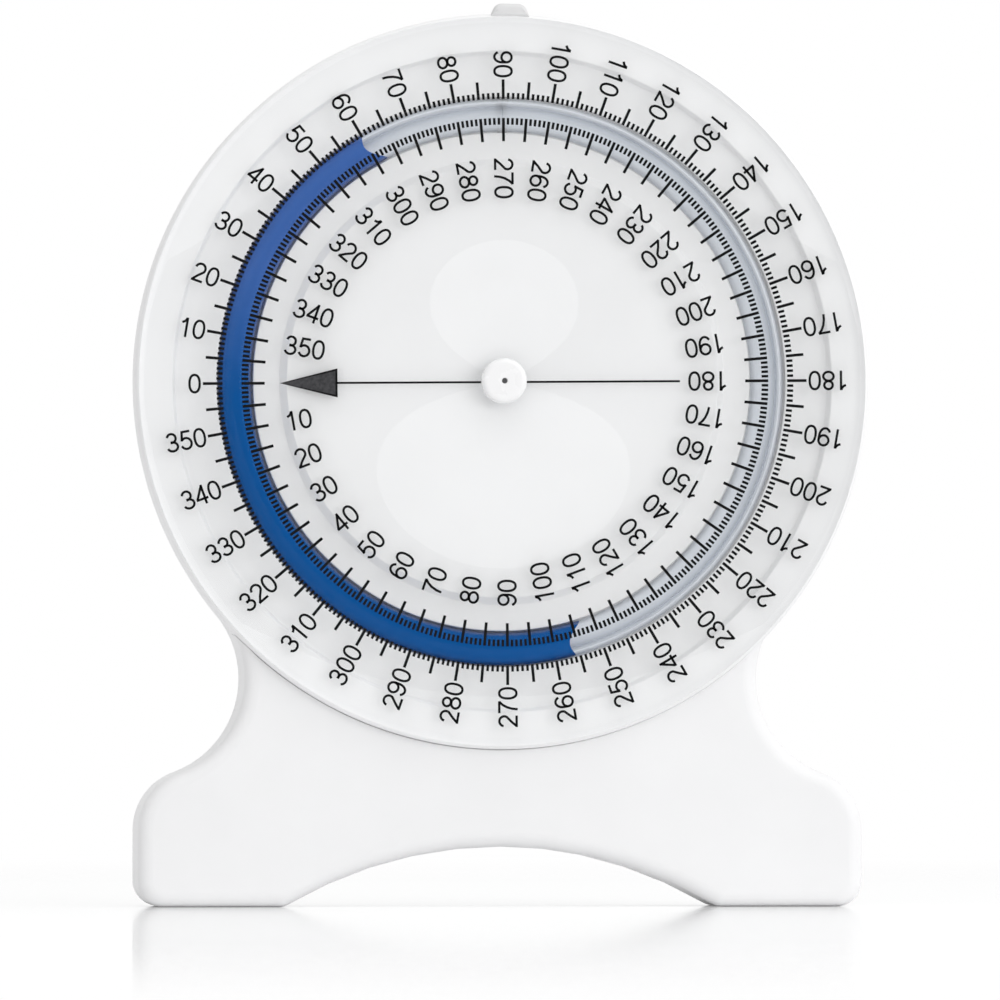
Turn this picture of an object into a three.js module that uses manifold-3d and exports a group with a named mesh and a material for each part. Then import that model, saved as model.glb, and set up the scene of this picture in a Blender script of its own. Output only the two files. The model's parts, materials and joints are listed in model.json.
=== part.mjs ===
// Scoliometer of the bubble kind. A round dial turns by hand on a two-footed stand.
// Behind the dial's flat clear window a ring of clear tube holds a column of blue liquid,
// which stays level while the dial and the stand tilt.
// Millimetres, +Z up, and the front faces -Y. The origin is on the floor under the middle.
// The scales read in degrees from the left, clockwise as seen from the front.

import * as THREE from "three";
import { mergeVertices } from "three/addons/utils/BufferGeometryUtils.js";
import Module from "manifold-3d";

// Stand outline, seen from the front
const standWidth = 118.6;
const dialOverhang = 0.6;
const dialAxisHeight = 85.7;
const neckRadius = 16.4;
const shoulderRadius = 10;
const shoulderCentreHeight = 12.5;
const footCornerRadius = 4.2;
const archRadius = 69;
const archHeight = 9.8;
const archCornerRadius = 3;

// Stand depth and walls
const standDepth = 20;
const edgeRound = 2.4;
const shellWall = 2.2;
const coverThickness = 2.4;
const coverSeam = 0.1;
const coverLipDepth = 1.6;
const coverLipThickness = 1.2;
const coverLipGap = 0.2;

// Cover screws and their bosses: places from the stand's sides, floor, disc edge and arch
const footScrewInset = 13.3;
const footScrewHeight = 11;
const upperScrewInset = 8.5;
const upperScrewMark = 45;
const middleScrewRise = 7.1;
const screwBossRadius = 3;
const screwHeadRadius = 2.6;
const screwHeadHeight = 1.2;
const screwHeadRound = 0.5;
const screwHeadSink = 0.2;
const screwShankRadius = 1.4;
const screwShankLength = 7.4;
const screwTipLength = 1.2;
const screwHoleGap = 0.2;
const screwDriveWidth = 0.7;
const screwDriveLength = 3;
const screwDriveDepth = 0.7;

// Dial
const dialRadius = 60;
const dialProud = 3.2;
const rimRound = 1.8;
const rimWall = 1.8;
const rimSkirt = 0.75;
const dialRunningGap = 0.6;
const recessGap = 0.5;
const plateWall = 1.6;
const innerStepInset = 24.7;
const innerStepRun = 1;
const outerStepInset = 6.1;
const outerStepRun = 0.9;

// Thumb lug on the dial's rim, near the 90 mark
const lugMark = 91.1;
const lugWidth = 6.5;
const lugHeight = 1.7;
const lugCornerRadius = 1.3;
const lugSink = 1.2;
const lugBackOffset = 0.4;
const lugDepth = 2.4;
const lugEdge = 0.5;

// Window
const windowThickness = 1.9;
const windowGap = 0.1;

// Ring tube, its joint and the liquid in it
const tubeRingInset = 16.4;
const tubeDiameter = 5.2;
const tubeWall = 0.8;
const tubeWindowGap = 0.6;
const tubeSeatGap = 0.15;
const tubeSink = 1;
const tubeJointMark = 90;
const tubeJointGap = 0.3;
const jointSleeveLength = 1.6;
const jointSleeveWall = 0.25;
const jointSleeveGap = 0.1;
const jointReliefGap = 0.15;
const liquidGap = 0.2;
const liquidTopMark = 60;
const liquidBottomMark = -104.5;

// Pivot through the dial and the stand
const pinRadius = 3;
const pinRunningGap = 0.1;
const fitGap = 0.1;
const pinNoseRadius = 1.6;
const pinNoseLength = 1.7;
const capRadius = 3.7;
const capHeight = 2.4;
const capRound = 0.9;
const capDimpleRadius = 0.5;
const capDimpleDepth = 0.5;
const dialBossRadius = 8;
const frictionWasherRadius = 7.5;
const frictionWasherThickness = 0.8;
const standBossRadius = 8;
const standBossHeight = 3.6;
const bushWall = 1.4;
const bushFlangeRadius = 6.2;
const bushFlangeThickness = 0.8;
const springWasherRadius = 5.6;
const springWasherThickness = 0.3;
const springWasherWave = 0.3;
const springWasherWaves = 3;
const retainerRadius = 5.2;
const retainerThickness = 0.6;
const retainerScrewLength = 5.2;

// Fineness of round shapes, as counts of flats
const dialFlats = 60;
const smallFlats = 24;
const screwFlats = 12;
const tubeFlats = 10;
const cornerFlats = 4;
const neckFlats = 9;
const archFlats = 14;
const roundFlats = 3;
const grooveFlats = 5;

// Working values: how far a cut runs past a face, how near two points count as one,
// the scale's mark at the top of the dial and the marks in a full turn
const cutOverrun = 1;
const samePoint = 1e-4;
const topMark = 90;
const fullTurn = 360;

// Radii from the dial's axis
const backDiscRadius = dialRadius - dialOverhang;
const innerStepRadius = dialRadius - innerStepInset;
const outerStepRadius = dialRadius - outerStepInset;
const tubeRingRadius = dialRadius - tubeRingInset;

// Depths along Y, measured back from the stand's lower front face
const rimFront = -dialProud;
const windowBack = rimFront + windowThickness;
const seatDepth = windowBack + windowGap;
const tubeRadius = tubeDiameter / 2;
const tubeCentreDepth = windowBack + tubeWindowGap + tubeRadius;
const troughFloor = tubeCentreDepth + tubeRadius - tubeSink;
const grooveRadius = tubeRadius + tubeSeatGap;
const plateBack = tubeCentreDepth + grooveRadius + plateWall;
const rimBack = plateBack + rimSkirt;
const recessFloor = rimBack + dialRunningGap;
const recessBack = recessFloor + shellWall;
const recessRadius = dialRadius + recessGap;
const washerSeat = rimBack + fitGap + frictionWasherThickness + fitGap;
const standBossBack = recessBack + standBossHeight;
const bushRadius = pinRadius + pinRunningGap + bushWall;
const bushFlangeBack = standBossBack + fitGap + bushFlangeThickness;
const springHeight = springWasherThickness + 2 * springWasherWave;
const retainerFront = bushFlangeBack + fitGap + springHeight + fitGap;
const retainerBack = retainerFront + retainerThickness;
const pinBack = retainerFront - fitGap;
const coverFront = standDepth - coverThickness;
const screwSeat = standDepth - screwHeadHeight - screwHeadSink;
const capFront = rimFront - fitGap - capHeight;
const middleDepth = (capFront + standDepth) / 2;

const radians = THREE.MathUtils.degToRad;
const wasm = await Module();
wasm.setup();

// Solids and booleans

function solidOf(geometry) {
  const bare = geometry.clone();
  bare.deleteAttribute("normal");
  bare.deleteAttribute("uv");
  const merged = mergeVertices(bare, samePoint);
  const corners = merged.index.array;
  const kept = [];
  for (let i = 0; i < corners.length; i += 3) {
    const [a, b, c] = [corners[i], corners[i + 1], corners[i + 2]];
    if (a !== b && b !== c && c !== a) {
      kept.push(a, b, c);
    }
  }
  const mesh = new wasm.Mesh({
    numProp: 3,
    vertProperties: new Float32Array(merged.attributes.position.array),
    triVerts: new Uint32Array(kept),
  });
  return new wasm.Manifold(mesh);
}

function geometryOf(solid) {
  const mesh = solid.getMesh();
  const geometry = new THREE.BufferGeometry();
  geometry.setAttribute("position", new THREE.BufferAttribute(mesh.vertProperties, 3));
  geometry.setIndex(new THREE.BufferAttribute(mesh.triVerts, 1));
  geometry.computeVertexNormals();
  return geometry;
}

function joined(solids) {
  return solids.reduce((whole, next) => whole.add(next));
}

function cutBy(solid, cutters) {
  return cutters.reduce((left, cutter) => left.subtract(cutter), solid);
}

// Shapes

function arc(centre, radius, start, end, flats) {
  const points = [];
  for (let step = 0; step <= flats; step += 1) {
    const angle = start + ((end - start) * step) / flats;
    const spoke = new THREE.Vector2(Math.cos(angle), Math.sin(angle)).multiplyScalar(radius);
    points.push(spoke.add(centre));
  }
  return points;
}

function withoutRepeats(points) {
  const isNew = (point, i) => point.distanceTo(points[(i + points.length - 1) % points.length]) > samePoint;
  return points.filter(isNew);
}

function mirrored(points) {
  return points.map((point) => new THREE.Vector2(-point.x, point.y)).reverse();
}

// A prism of a front-view outline from one depth to another, with its front and back edges rounded.
function prism(points, front, back, rounding = 0) {
  const geometry = new THREE.ExtrudeGeometry(new THREE.Shape(points), {
    depth: back - front - 2 * rounding,
    bevelEnabled: rounding > 0,
    bevelThickness: rounding,
    bevelSize: rounding,
    bevelOffset: -rounding,
    bevelSegments: roundFlats,
  });
  geometry.translate(0, 0, rounding - back);
  geometry.rotateX(Math.PI / 2);
  return solidOf(geometry);
}

// A solid turned about the dial's axis from a profile of radius and depth. The profile runs
// outwards along the front and inwards along the back.
function turned(profile, flats) {
  const closed = profile[0][0] > 0;
  const points = profile.map(([radius, depth]) => new THREE.Vector2(radius, depth));
  if (closed) {
    points.push(points[0].clone());
  }
  return solidOf(new THREE.LatheGeometry(points, flats));
}

function disc(radius, front, back, flats) {
  return turned([[0, front], [radius, front], [radius, back], [0, back]], flats);
}

function ring(inner, outer, front, back, flats) {
  return turned([[inner, front], [outer, front], [outer, back], [inner, back]], flats);
}

// Where a mark of the outer scale lies, at a radius from the dial's axis.
class ScaleArc extends THREE.Curve {
  constructor(radius, depth, from, to) {
    super();
    this.radius = radius;
    this.depth = depth;
    this.from = from;
    this.to = to;
  }

  getPoint(share, target = new THREE.Vector3()) {
    const mark = radians(this.from + (this.to - this.from) * share);
    return target.set(-this.radius * Math.cos(mark), this.depth, this.radius * Math.sin(mark));
  }
}

// A round bar or pipe bent along part of the ring.
function bent(outer, inner, from, to) {
  const none = new THREE.Vector2();
  const section = new THREE.Shape(arc(none, outer, 0, 2 * Math.PI, tubeFlats).slice(1));
  if (inner > 0) {
    section.holes.push(new THREE.Path(arc(none, inner, 0, -2 * Math.PI, tubeFlats).slice(1)));
  }
  const path = new ScaleArc(tubeRingRadius, tubeCentreDepth, from, to);
  const steps = Math.max(1, Math.round((Math.abs(to - from) * dialFlats) / fullTurn));
  return solidOf(new THREE.ExtrudeGeometry(section, { steps, bevelEnabled: false, extrudePath: path }));
}

function ringDegrees(length) {
  return THREE.MathUtils.radToDeg(length / tubeRingRadius);
}

// Stand

// Where two circles cross, on the side towards +X.
function circlesCross(first, firstRadius, second, secondRadius) {
  const across = second.clone().sub(first);
  const distance = across.length();
  const along = (firstRadius ** 2 - secondRadius ** 2 + distance ** 2) / (2 * distance);
  const aside = Math.sqrt(Math.max(firstRadius ** 2 - along ** 2, 0));
  const unit = across.divideScalar(distance);
  const foot = first.clone().addScaledVector(unit, along);
  return foot.add(new THREE.Vector2(unit.y, -unit.x).multiplyScalar(aside));
}

// The stand's outline moved inwards: disc, neck, shoulder, foot and arch, each arc tangent to the next.
function standOutline(inset) {
  const halfWidth = standWidth / 2;
  const discCentre = new THREE.Vector2(0, dialAxisHeight);
  const shoulder = new THREE.Vector2(halfWidth - shoulderRadius, shoulderCentreHeight);
  const neck = circlesCross(shoulder, shoulderRadius + neckRadius, discCentre, backDiscRadius + neckRadius);
  const foot = new THREE.Vector2(halfWidth - footCornerRadius, footCornerRadius);
  const archCentre = new THREE.Vector2(0, archHeight - archRadius);
  const cornerRise = archCornerRadius - archCentre.y;
  const cornerReach = Math.sqrt((archRadius + archCornerRadius) ** 2 - cornerRise ** 2);
  const archCorner = new THREE.Vector2(cornerReach, archCornerRadius);
  const archAngle = Math.atan2(cornerRise, cornerReach);
  const shoulderAngle = neck.clone().sub(shoulder).angle();
  const discAngle = Math.atan2(neck.y - discCentre.y, neck.x);
  const inside = (radius) => Math.max(radius - inset, samePoint);
  const upright = Math.PI / 2;
  const rightArch = arc(archCentre, archRadius + inset, upright, archAngle, archFlats / 2);
  const rightSide = [
    ...arc(archCorner, inside(archCornerRadius), archAngle + Math.PI, 3 * upright, cornerFlats),
    ...arc(foot, inside(footCornerRadius), -upright, 0, cornerFlats),
    ...arc(shoulder, inside(shoulderRadius), 0, shoulderAngle, cornerFlats),
    ...arc(neck, neckRadius + inset, shoulderAngle + Math.PI, discAngle + Math.PI, neckFlats),
  ];
  const discFlats = Math.round((dialFlats * (upright - discAngle)) / (2 * Math.PI));
  const rightDisc = arc(discCentre, backDiscRadius - inset, discAngle, upright, discFlats);
  const right = [...rightArch, ...rightSide, ...rightDisc];
  return withoutRepeats([...right, ...mirrored(right)]);
}

const footScrewX = standWidth / 2 - footScrewInset;
const upperScrewReach = backDiscRadius - upperScrewInset;
const upperScrewX = upperScrewReach * Math.cos(radians(upperScrewMark));
const upperScrewHeight = dialAxisHeight + upperScrewReach * Math.sin(radians(upperScrewMark));
const screwPlaces = [
  new THREE.Vector2(-footScrewX, footScrewHeight),
  new THREE.Vector2(footScrewX, footScrewHeight),
  new THREE.Vector2(-upperScrewX, upperScrewHeight),
  new THREE.Vector2(upperScrewX, upperScrewHeight),
  new THREE.Vector2(0, archHeight + middleScrewRise),
];

function atAxis(solid) {
  return solid.translate([0, 0, dialAxisHeight]);
}

function atScrews(solid) {
  return screwPlaces.map((place) => solid.translate([place.x, 0, place.y]));
}

function standBody(front, back) {
  const whole = prism(standOutline(0), 0, standDepth, edgeRound);
  const reach = standWidth + dialAxisHeight;
  const slab = new THREE.BoxGeometry(reach, back - front, 2 * reach);
  slab.translate(0, (front + back) / 2, 0);
  return whole.intersect(solidOf(slab));
}

function standFrontShell() {
  const recess = atAxis(disc(recessRadius, -cutOverrun, recessFloor, dialFlats));
  const recessWall = atAxis(disc(recessRadius + shellWall, 0, recessBack, dialFlats));
  const hollow = prism(standOutline(shellWall), shellWall, coverFront + cutOverrun).subtract(recessWall);
  const pivotBoss = atAxis(disc(standBossRadius, recessFloor, standBossBack, smallFlats));
  const pilotRadius = screwShankRadius + fitGap;
  const pilotFront = screwSeat - screwShankLength - fitGap;
  const bosses = atScrews(disc(screwBossRadius, shellWall - fitGap, coverFront, screwFlats));
  const pilots = atScrews(disc(pilotRadius, pilotFront, coverFront + cutOverrun, screwFlats));
  const washerRecess = atAxis(disc(frictionWasherRadius + fitGap, 0, washerSeat, smallFlats));
  const bushHole = atAxis(disc(bushRadius + fitGap, 0, standBossBack + cutOverrun, smallFlats));
  const walls = standBody(-cutOverrun, coverFront).subtract(hollow);
  return cutBy(joined([walls, pivotBoss, ...bosses]), [recess, washerRecess, bushHole, ...pilots]);
}

function standBackCover() {
  const lipOuterInset = shellWall + coverLipGap;
  const lipInnerInset = lipOuterInset + coverLipThickness;
  const lipFront = coverFront - coverLipDepth;
  const plateFront = coverFront + coverSeam;
  const lipOuter = prism(standOutline(lipOuterInset), lipFront, coverFront + coverThickness / 2);
  const lipInner = prism(standOutline(lipInnerInset), lipFront - cutOverrun, plateFront);
  const plate = standBody(plateFront, standDepth + cutOverrun);
  const hole = disc(screwShankRadius + screwHoleGap, coverFront, screwSeat + cutOverrun, screwFlats);
  const sink = disc(screwHeadRadius + screwHoleGap, screwSeat, standDepth + cutOverrun, screwFlats);
  return cutBy(plate.add(lipOuter.subtract(lipInner)), [...atScrews(hole), ...atScrews(sink)]);
}

// Screws, with their heads to the back

function screw(seat, headRadius, length) {
  const headBack = seat + screwHeadHeight;
  const round = Math.min(screwHeadRound, headRadius / 2);
  const head = new THREE.Vector2(headRadius - round, headBack - round);
  const crown = arc(head, round, 0, Math.PI / 2, roundFlats).map((point) => [point.x, point.y]);
  const body = turned(
    [
      [0, seat - length],
      [screwShankRadius / 2, seat - length],
      [screwShankRadius, seat - length + screwTipLength],
      [screwShankRadius, seat],
      [headRadius, seat],
      ...crown,
      [0, headBack],
    ],
    screwFlats,
  );
  const driveBar = new THREE.BoxGeometry(screwDriveLength, 2 * screwDriveDepth, screwDriveWidth);
  driveBar.translate(0, headBack, 0);
  const crossBar = driveBar.clone().rotateY(Math.PI / 2);
  return cutBy(body, [solidOf(driveBar), solidOf(crossBar)]);
}

// Dial

// Profile of the white plate: hub, raised middle, sunk trough with a seat for the tube, raised rim.
function dialPlateProfile() {
  const boreRadius = pinRadius + fitGap;
  const pocketRadius = dialRadius - rimRound;
  const tubeCentre = new THREE.Vector2(tubeRingRadius, tubeCentreDepth);
  const seatAngle = Math.asin(Math.min((troughFloor - tubeCentreDepth) / grooveRadius, 1));
  const groove = arc(tubeCentre, grooveRadius, Math.PI - seatAngle, seatAngle, grooveFlats);
  const rimCentre = new THREE.Vector2(pocketRadius, rimFront + rimRound);
  const rimCorner = arc(rimCentre, rimRound, -Math.PI / 2, 0, roundFlats);
  const webBack = seatDepth + plateWall;
  return [
    [boreRadius, seatDepth],
    [innerStepRadius, seatDepth],
    [innerStepRadius + innerStepRun, troughFloor],
    ...groove.map((point) => [point.x, point.y]),
    [outerStepRadius - outerStepRun, troughFloor],
    [outerStepRadius, seatDepth],
    [pocketRadius, seatDepth],
    ...rimCorner.map((point) => [point.x, point.y]),
    [dialRadius, rimBack],
    [dialRadius - rimWall, rimBack],
    [dialRadius - rimWall, webBack],
    [outerStepRadius + plateWall, webBack],
    [outerStepRadius - outerStepRun + plateWall, plateBack],
    [innerStepRadius, plateBack],
    [innerStepRadius - plateWall, webBack],
    [dialBossRadius, webBack],
    [dialBossRadius, rimBack],
    [boreRadius, rimBack],
  ];
}

// The thumb lug's outline, its foot sunk into the rim.
function lugOutline() {
  const side = lugWidth / 2;
  const top = dialRadius + lugHeight;
  const foot = dialRadius - lugSink;
  const corner = new THREE.Vector2(side - lugCornerRadius, top - lugCornerRadius);
  const right = [new THREE.Vector2(side, foot), ...arc(corner, lugCornerRadius, 0, Math.PI / 2, cornerFlats)];
  return withoutRepeats([...right, ...mirrored(right)]);
}

function dialPlate() {
  const plate = turned(dialPlateProfile(), dialFlats);
  const lugFront = -lugBackOffset - lugDepth;
  const lug = prism(lugOutline(), lugFront, -lugBackOffset, lugEdge).rotate([0, lugMark - topMark, 0]);
  const reliefHalf = ringDegrees(jointSleeveLength / 2 + jointReliefGap);
  const reliefRadius = tubeRadius + jointSleeveGap + jointSleeveWall + jointReliefGap;
  const relief = bent(reliefRadius, 0, tubeJointMark - reliefHalf, tubeJointMark + reliefHalf);
  return plate.add(lug).subtract(relief);
}

function dialWindow() {
  const hole = pinRadius + fitGap;
  return ring(hole, dialRadius - rimRound - windowGap, rimFront, windowBack, dialFlats);
}

function ringTube() {
  const seam = ringDegrees(tubeJointGap / 2);
  return bent(tubeRadius, tubeRadius - tubeWall, tubeJointMark + seam, tubeJointMark + fullTurn - seam);
}

function tubeJointSleeve() {
  const half = ringDegrees(jointSleeveLength / 2);
  const inner = tubeRadius + jointSleeveGap;
  return bent(inner + jointSleeveWall, inner, tubeJointMark - half, tubeJointMark + half);
}

function liquidColumn() {
  return bent(tubeRadius - tubeWall - liquidGap, 0, liquidBottomMark, liquidTopMark);
}

// Pivot

function pivotPin() {
  const noseBack = rimFront + fitGap;
  const noseFront = rimFront - fitGap - pinNoseLength;
  const pin = turned(
    [
      [0, noseFront],
      [pinNoseRadius, noseFront],
      [pinNoseRadius, noseBack],
      [pinRadius, noseBack],
      [pinRadius, pinBack],
      [0, pinBack],
    ],
    smallFlats,
  );
  const tapFront = retainerBack - retainerScrewLength;
  return pin.subtract(disc(screwShankRadius + fitGap, tapFront, pinBack + cutOverrun, screwFlats));
}

function hubCap() {
  const capBack = rimFront - fitGap;
  const edge = new THREE.Vector2(capRadius - capRound, capFront + capRound);
  const crown = arc(edge, capRound, -Math.PI / 2, 0, roundFlats).map((point) => [point.x, point.y]);
  const cap = turned([[0, capFront], ...crown, [capRadius, capBack], [0, capBack]], smallFlats);
  const socketFront = capBack - pinNoseLength - fitGap;
  const socket = disc(pinNoseRadius + fitGap, socketFront, capBack + cutOverrun, smallFlats);
  const dimple = disc(capDimpleRadius, capFront - cutOverrun, capFront + capDimpleDepth, screwFlats);
  return cutBy(cap, [socket, dimple]);
}

function frictionWasher() {
  const front = rimBack + fitGap;
  const hole = pinRadius + 2 * pinRunningGap;
  return ring(hole, frictionWasherRadius, front, front + frictionWasherThickness, smallFlats);
}

function pivotBush() {
  const bore = pinRadius + pinRunningGap;
  const front = washerSeat + fitGap;
  const flangeFront = standBossBack + fitGap;
  return turned(
    [
      [bore, front],
      [bushRadius, front],
      [bushRadius, flangeFront],
      [bushFlangeRadius, flangeFront],
      [bushFlangeRadius, bushFlangeBack],
      [bore, bushFlangeBack],
    ],
    smallFlats,
  );
}

// A flat ring pressed into waves round its axis.
function springWasher() {
  const front = bushFlangeBack + fitGap + springWasherWave;
  const hole = pinRadius + 3 * pinRunningGap;
  const flat = ring(hole, springWasherRadius, front, front + springWasherThickness, 2 * smallFlats);
  return flat.warp((point) => {
    point[1] += springWasherWave * Math.cos(springWasherWaves * Math.atan2(point[0], point[2]));
  });
}

function retainingWasher() {
  const hole = screwShankRadius + fitGap;
  return ring(hole, retainerRadius, retainerFront, retainerBack, smallFlats);
}

// Materials and assembly

function plastic(colour, roughness) {
  return new THREE.MeshStandardMaterial({ color: colour, roughness, metalness: 0 });
}

function clearPlastic(colour, opacity) {
  const material = plastic(colour, 0.08);
  material.transparent = true;
  material.opacity = opacity;
  return material;
}

function steel(colour) {
  return new THREE.MeshStandardMaterial({ color: colour, roughness: 0.35, metalness: 1 });
}

const whitePlastic = 0xf2f3f4;
const softWhite = 0xe4e2da;
const liquidBlue = 0x0f5a9e;
const steelGrey = 0xb4b8bc;

function addPiece(group, name, solid, material) {
  const mesh = new THREE.Mesh(geometryOf(solid), material);
  mesh.name = name;
  group.add(mesh);
  return mesh;
}

const part = new THREE.Group();
part.position.set(0, -middleDepth, 0);

const stand = new THREE.Group();
part.add(stand);
addPiece(stand, "stand_front_shell", standFrontShell(), plastic(whitePlastic, 0.32));
addPiece(stand, "stand_back_cover", standBackCover(), plastic(whitePlastic, 0.36));
screwPlaces.forEach((place, i) => {
  const coverScrew = screw(screwSeat, screwHeadRadius, screwShankLength);
  const mesh = addPiece(stand, `cover_screw_${i + 1}`, coverScrew, steel(steelGrey));
  mesh.position.set(place.x, 0, place.y);
});

const standAxis = new THREE.Group();
standAxis.position.set(0, 0, dialAxisHeight);
stand.add(standAxis);
addPiece(standAxis, "friction_washer", frictionWasher(), plastic(softWhite, 0.5));
addPiece(standAxis, "pivot_bush", pivotBush(), plastic(softWhite, 0.45));
addPiece(standAxis, "spring_washer", springWasher(), steel(steelGrey));

const dial = new THREE.Group();
dial.position.set(0, 0, dialAxisHeight);
part.add(dial);
addPiece(dial, "dial_plate", dialPlate(), plastic(whitePlastic, 0.4));
addPiece(dial, "dial_window", dialWindow(), clearPlastic(0xffffff, 0.25));
addPiece(dial, "ring_tube", ringTube(), clearPlastic(0xdfe6ee, 0.4));
addPiece(dial, "tube_joint_sleeve", tubeJointSleeve(), clearPlastic(0xe8edf2, 0.4));
addPiece(dial, "pivot_pin", pivotPin(), steel(steelGrey));
addPiece(dial, "hub_cap", hubCap(), plastic(whitePlastic, 0.3));
addPiece(dial, "retaining_washer", retainingWasher(), steel(steelGrey));
const retainingScrew = screw(retainerBack + fitGap, screwHeadRadius, retainerScrewLength);
addPiece(dial, "retaining_screw", retainingScrew, steel(steelGrey));

const liquid = new THREE.Group();
liquid.position.set(0, 0, dialAxisHeight);
part.add(liquid);
addPiece(liquid, "liquid_column", liquidColumn(), clearPlastic(liquidBlue, 0.85));

export default part;
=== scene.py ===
"""A scoliometer of the bubble kind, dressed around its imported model.

The front faces -Y, X runs to the right and Z up, in metres. The dial turns about an axis along Y. A
mark is an angle of the dial's outer scale: 0 at the left, and clockwise as seen from the front.
"""

import json
import math

import bmesh
import bpy
import numpy as np
from bpy.props import FloatProperty, FloatVectorProperty, IntProperty, PointerProperty
from bpy.types import Operator, Panel, PropertyGroup
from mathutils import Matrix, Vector


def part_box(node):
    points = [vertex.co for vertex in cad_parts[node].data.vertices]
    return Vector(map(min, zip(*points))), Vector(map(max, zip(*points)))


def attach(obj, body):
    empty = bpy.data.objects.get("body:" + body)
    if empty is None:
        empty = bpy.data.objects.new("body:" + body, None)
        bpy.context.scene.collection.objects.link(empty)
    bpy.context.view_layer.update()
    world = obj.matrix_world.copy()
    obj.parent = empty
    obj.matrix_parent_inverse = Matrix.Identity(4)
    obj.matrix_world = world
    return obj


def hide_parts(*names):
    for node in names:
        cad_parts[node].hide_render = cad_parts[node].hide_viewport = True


bl_info = {
    "name": "Scoliometer",
    "version": (1, 0, 0),
    "blender": (4, 5, 0),
    "location": "3D View > Sidebar > Scoliometer",
    "description": "Dresses the scoliometer: stand, dial, window, tube, liquid, print and studio",
    "category": "Add Mesh",
}

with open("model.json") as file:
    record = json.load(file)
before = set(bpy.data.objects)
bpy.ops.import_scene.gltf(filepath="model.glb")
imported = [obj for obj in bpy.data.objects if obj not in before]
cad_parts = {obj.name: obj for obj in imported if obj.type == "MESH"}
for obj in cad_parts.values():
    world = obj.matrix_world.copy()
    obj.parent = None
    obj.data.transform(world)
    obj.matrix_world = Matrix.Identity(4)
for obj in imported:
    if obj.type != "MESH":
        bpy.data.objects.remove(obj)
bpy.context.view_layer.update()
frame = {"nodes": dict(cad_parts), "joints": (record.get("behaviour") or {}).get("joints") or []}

MM = 0.001
SAME_POINT = 1e-7
FULL_TURN = 360
TOP_MARK = 90


def box(node):
    """A node's lowest and highest corner at rest."""
    low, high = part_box(node)
    return np.array(low), np.array(high)


# Places that the frame gives

AXIS_HEIGHT = frame["joints"][0]["pos_m"][2]
STAND_FRONT, STAND_SEAM = (corner[1] for corner in box("stand_front_shell"))
STAND_BACK = box("stand_back_cover")[1][1]
STAND_WIDTH = box("stand_front_shell")[1][0] * 2
RIM_FRONT, RIM_BACK = (corner[1] for corner in box("dial_plate"))
DIAL_RADIUS = -box("dial_plate")[0][0]
WINDOW_FRONT, WINDOW_BACK = (corner[1] for corner in box("dial_window"))
CAP_FRONT, CAP_BACK = (corner[1] for corner in box("hub_cap"))
SCREW_NODES = sorted(name for name in frame["nodes"] if name.startswith("cover_screw"))


def length(name, description, millimetres):
    """A size that a user can set, given here in millimetres."""
    return FloatProperty(
        name=name, description=description, default=millimetres * MM, precision=5, unit="LENGTH"
    )


def degrees(name, description, value):
    """An angle that a user can set, given here in degrees."""
    return FloatProperty(
        name=name, description=description, default=math.radians(value), subtype="ANGLE"
    )


def share(name, description, value):
    """A plain number from 0 up."""
    return FloatProperty(name=name, description=description, default=value, min=0.0)


def count(name, description, value):
    """How many flats or steps stand for a round shape."""
    return IntProperty(name=name, description=description, default=value, min=3)


def colour(name, description, value):
    """A colour that a user can set."""
    return FloatVectorProperty(
        name=name, description=description, default=value, subtype="COLOR", size=3, min=0.0, max=1.0
    )


class StandSizes(PropertyGroup):
    """The stand's outline and walls"""

    dial_overhang: length("Dial overhang", "How far the dial stands past the disc behind it", 0.6)
    neck_radius: length("Neck radius", "Hollow curve from the disc to the shoulder", 16.4)
    shoulder_radius: length("Shoulder radius", "Round of the shoulder", 10.0)
    shoulder_height: length("Shoulder height", "Height of the middle of the shoulder's round", 12.5)
    foot_corner: length("Foot corner", "Round of the foot's outer corner", 4.2)
    arch_radius: length("Arch radius", "Curve of the arch between the feet", 69.0)
    arch_height: length("Arch height", "Top of the arch above the floor", 9.8)
    arch_corner: length("Arch corner", "Round where the arch meets the foot", 3.0)
    edge_round: length("Edge round", "Round of the front and back edges", 2.4)
    wall: length("Wall", "Wall of the shell", 2.2)
    flat_margin: length("Flat margin", "Flat strip kept inside each round", 0.08)
    recess_gap: length("Recess gap", "Gap round the dial in its recess", 0.06)
    recess_edge: length("Recess edge", "Round of the recess's front edge", 0.2)
    running_gap: length("Running gap", "Gap behind the dial's rim", 0.6)
    washer_radius: length("Washer recess", "Radius of the recess for the friction washer", 7.6)
    washer_sink: length("Washer sink", "Depth of that recess", 0.4)
    bush_hole: length("Bush hole", "Radius of the hole for the pivot bush", 4.6)
    boss_radius: length("Pivot boss", "Radius of the pivot's boss", 8.0)
    boss_height: length("Boss height", "How far that boss stands behind the recess wall", 3.6)
    screw_boss: length("Screw boss", "Radius of a screw's boss", 3.0)
    cover_seam: length("Cover seam", "Gap between the shell and the cover", 0.1)
    lip_gap: length("Lip gap", "Gap between the cover's lip and the wall", 0.2)
    lip_thickness: length("Lip thickness", "Thickness of the cover's lip", 1.2)
    lip_depth: length("Lip depth", "How far the lip reaches in front of the cover", 1.7)
    sink_gap: length("Sink gap", "Gap round a screw's head", 0.2)
    sink_edge: length("Sink edge", "Round of the edge of a screw's hole", 0.2)
    outline_steps: count("Outline steps", "Steps in a quarter turn of the outline", 16)
    round_steps: count("Round steps", "Steps across an edge's round", 8)


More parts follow.
